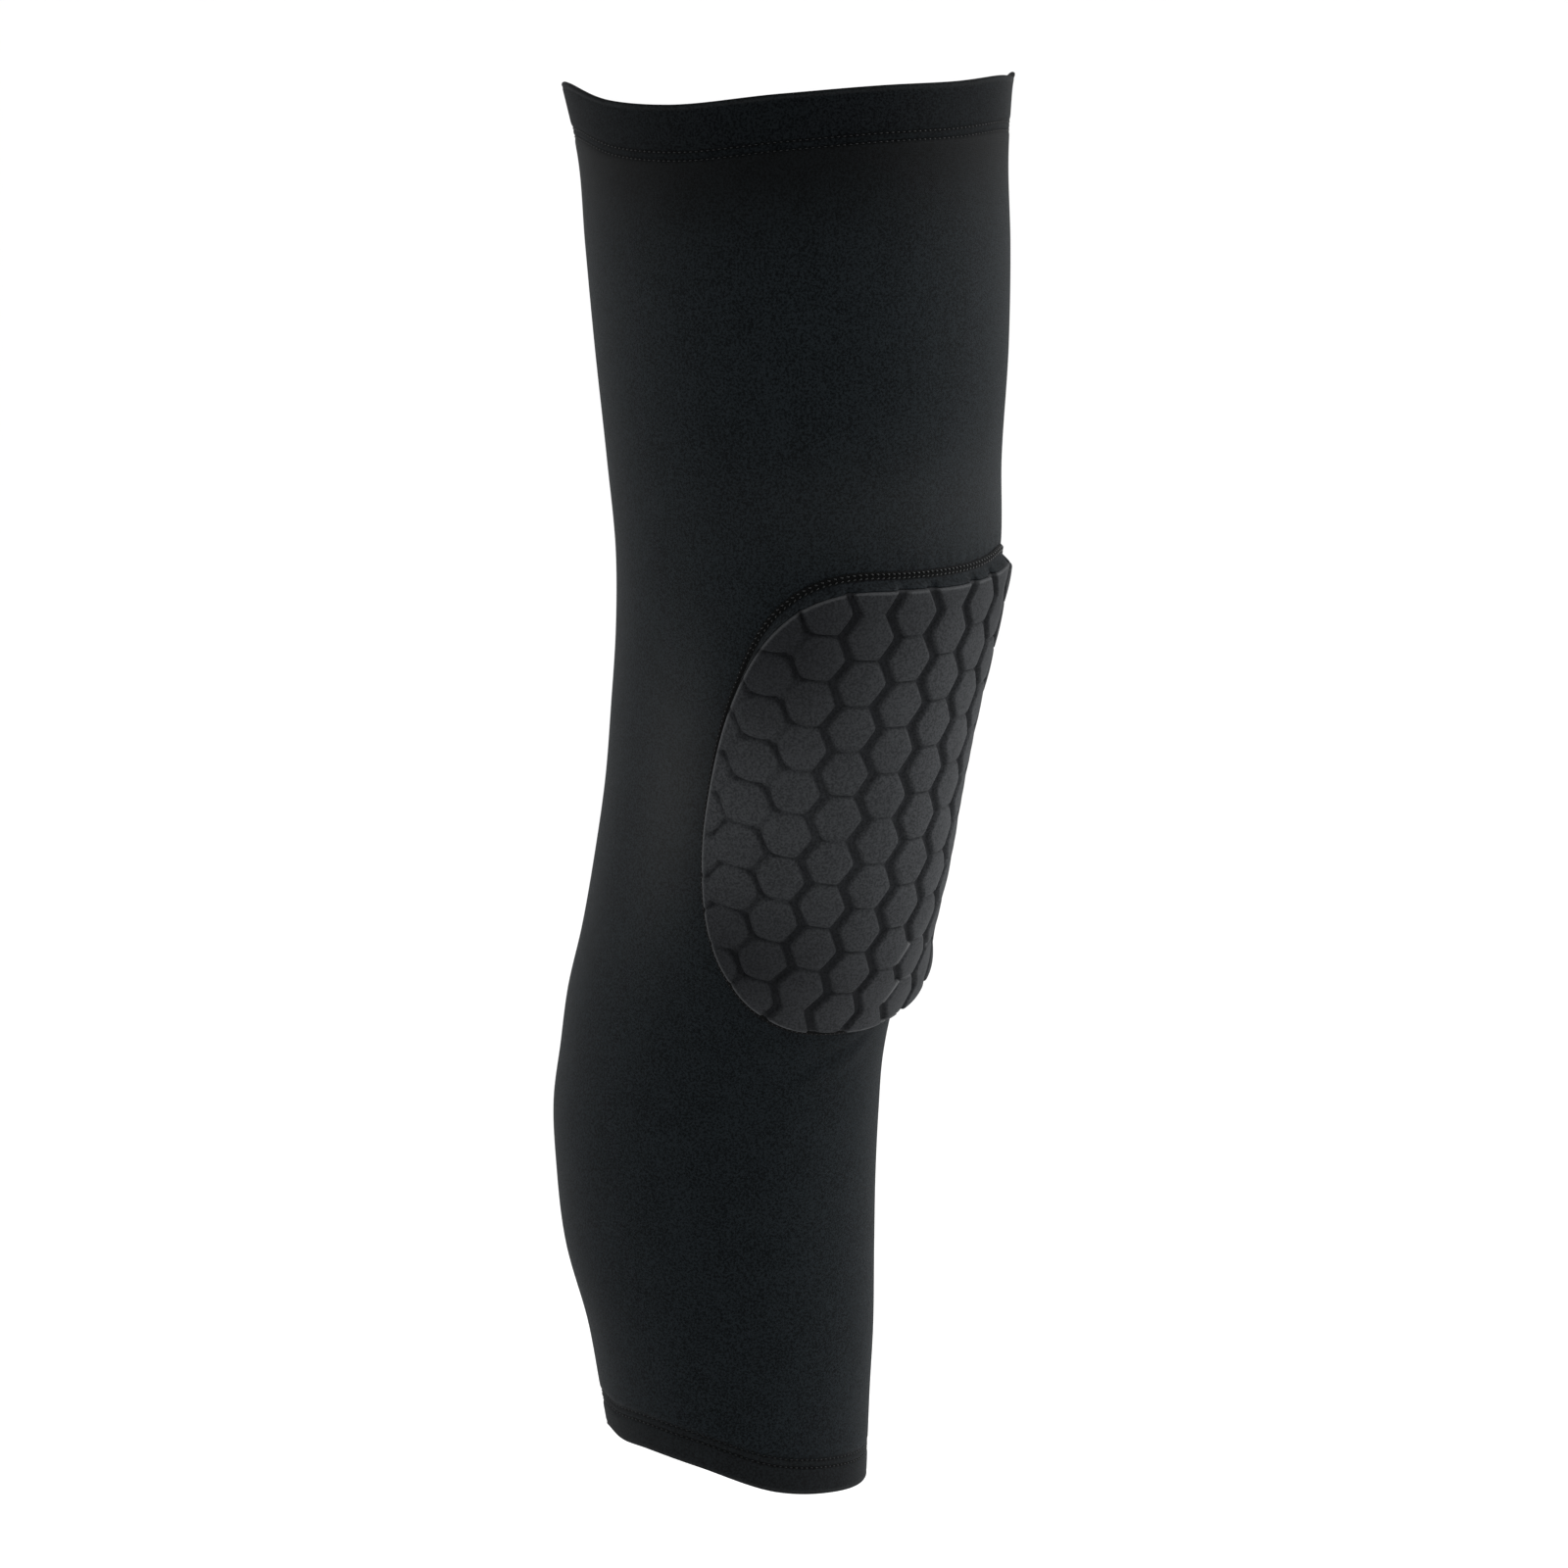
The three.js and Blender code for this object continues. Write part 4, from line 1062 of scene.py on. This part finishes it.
border_knit = knit_material("black_border_knit", (0.0010, 0.0016, 0.0022), (0.0065, 0.0084, 0.0098),
                            wales=1 / COVER_WALE, course=COVER_COURSE, grain=BORDER_GRAIN, sheen=0.010,
                            gloss=0.06, relief=COVER_RELIEF)
# Painted shade of the sunk seam
tinted(border_knit, "painted_shade", "MULTIPLY", (0.10, 0.10, 0.10))
pad_border = make_piece("pad_border", border_points, border_faces, border_knit,
                        border_flat[border_faces.ravel()], {"painted_shade": np.clip(seam_band_shade, 0, 1)})
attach(pad_border, "root")
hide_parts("pad_border")

# Flat seam: two rows of slanted thread loops side by side, all round the border's outer band
SEAM_ROWS = (0.2, 0.72)
SEAM_PITCH = 2.05 * MM
SEAM_LOOP = 1.3 * MM
SEAM_THREAD = 0.6 * MM
SEAM_RISE = 0.14 * MM
SEAM_SINK = 0.3 * MM
SEAM_SLANT = math.radians(28)
seam_thread = thread_material("black_seam_thread", (0.0011, 0.0014, 0.0017), (0.0080, 0.0089, 0.0097),
                              gloss=0.22)


def seam_row(name, share, slant):
    """One row of the flat seam, at a share of the band's width: loops one pitch apart, each turned by the
    slant out of the row's line."""
    perimeter = np.hypot(np.diff(edge_u), np.diff(edge_v)).sum()
    u, v = full_outline(int(round(perimeter / SEAM_PITCH)))
    away = (along_top(v, SIDE_RAMP, TOP_RAMP) + share * along_top(v, SIDE_BAND, TOP_BAND))[:, None]
    level = PAD_CLEAR + BAND_THICK + along_top(v, -SEAM_SINK, SEAM_RISE)[:, None]
    centres = on_border(u, v, away, level)[:, 0]
    outward = on_border(u, v, away, level + MM)[:, 0] - centres
    along = np.roll(centres, -1, axis=0) - np.roll(centres, 1, axis=0)
    along = along / np.linalg.norm(along, axis=-1, keepdims=True)
    outward = outward / np.linalg.norm(outward, axis=-1, keepdims=True)
    along = along * math.cos(slant) + np.cross(outward, along) * math.sin(slant)
    piece = stitch_rope(name, centres, along, outward, SEAM_LOOP, SEAM_THREAD, seam_thread)
    return piece


seam_stitches = [seam_row("pad_seam_stitches_inner", SEAM_ROWS[0], SEAM_SLANT),
                 seam_row("pad_seam_stitches_outer", SEAM_ROWS[1], -SEAM_SLANT)]
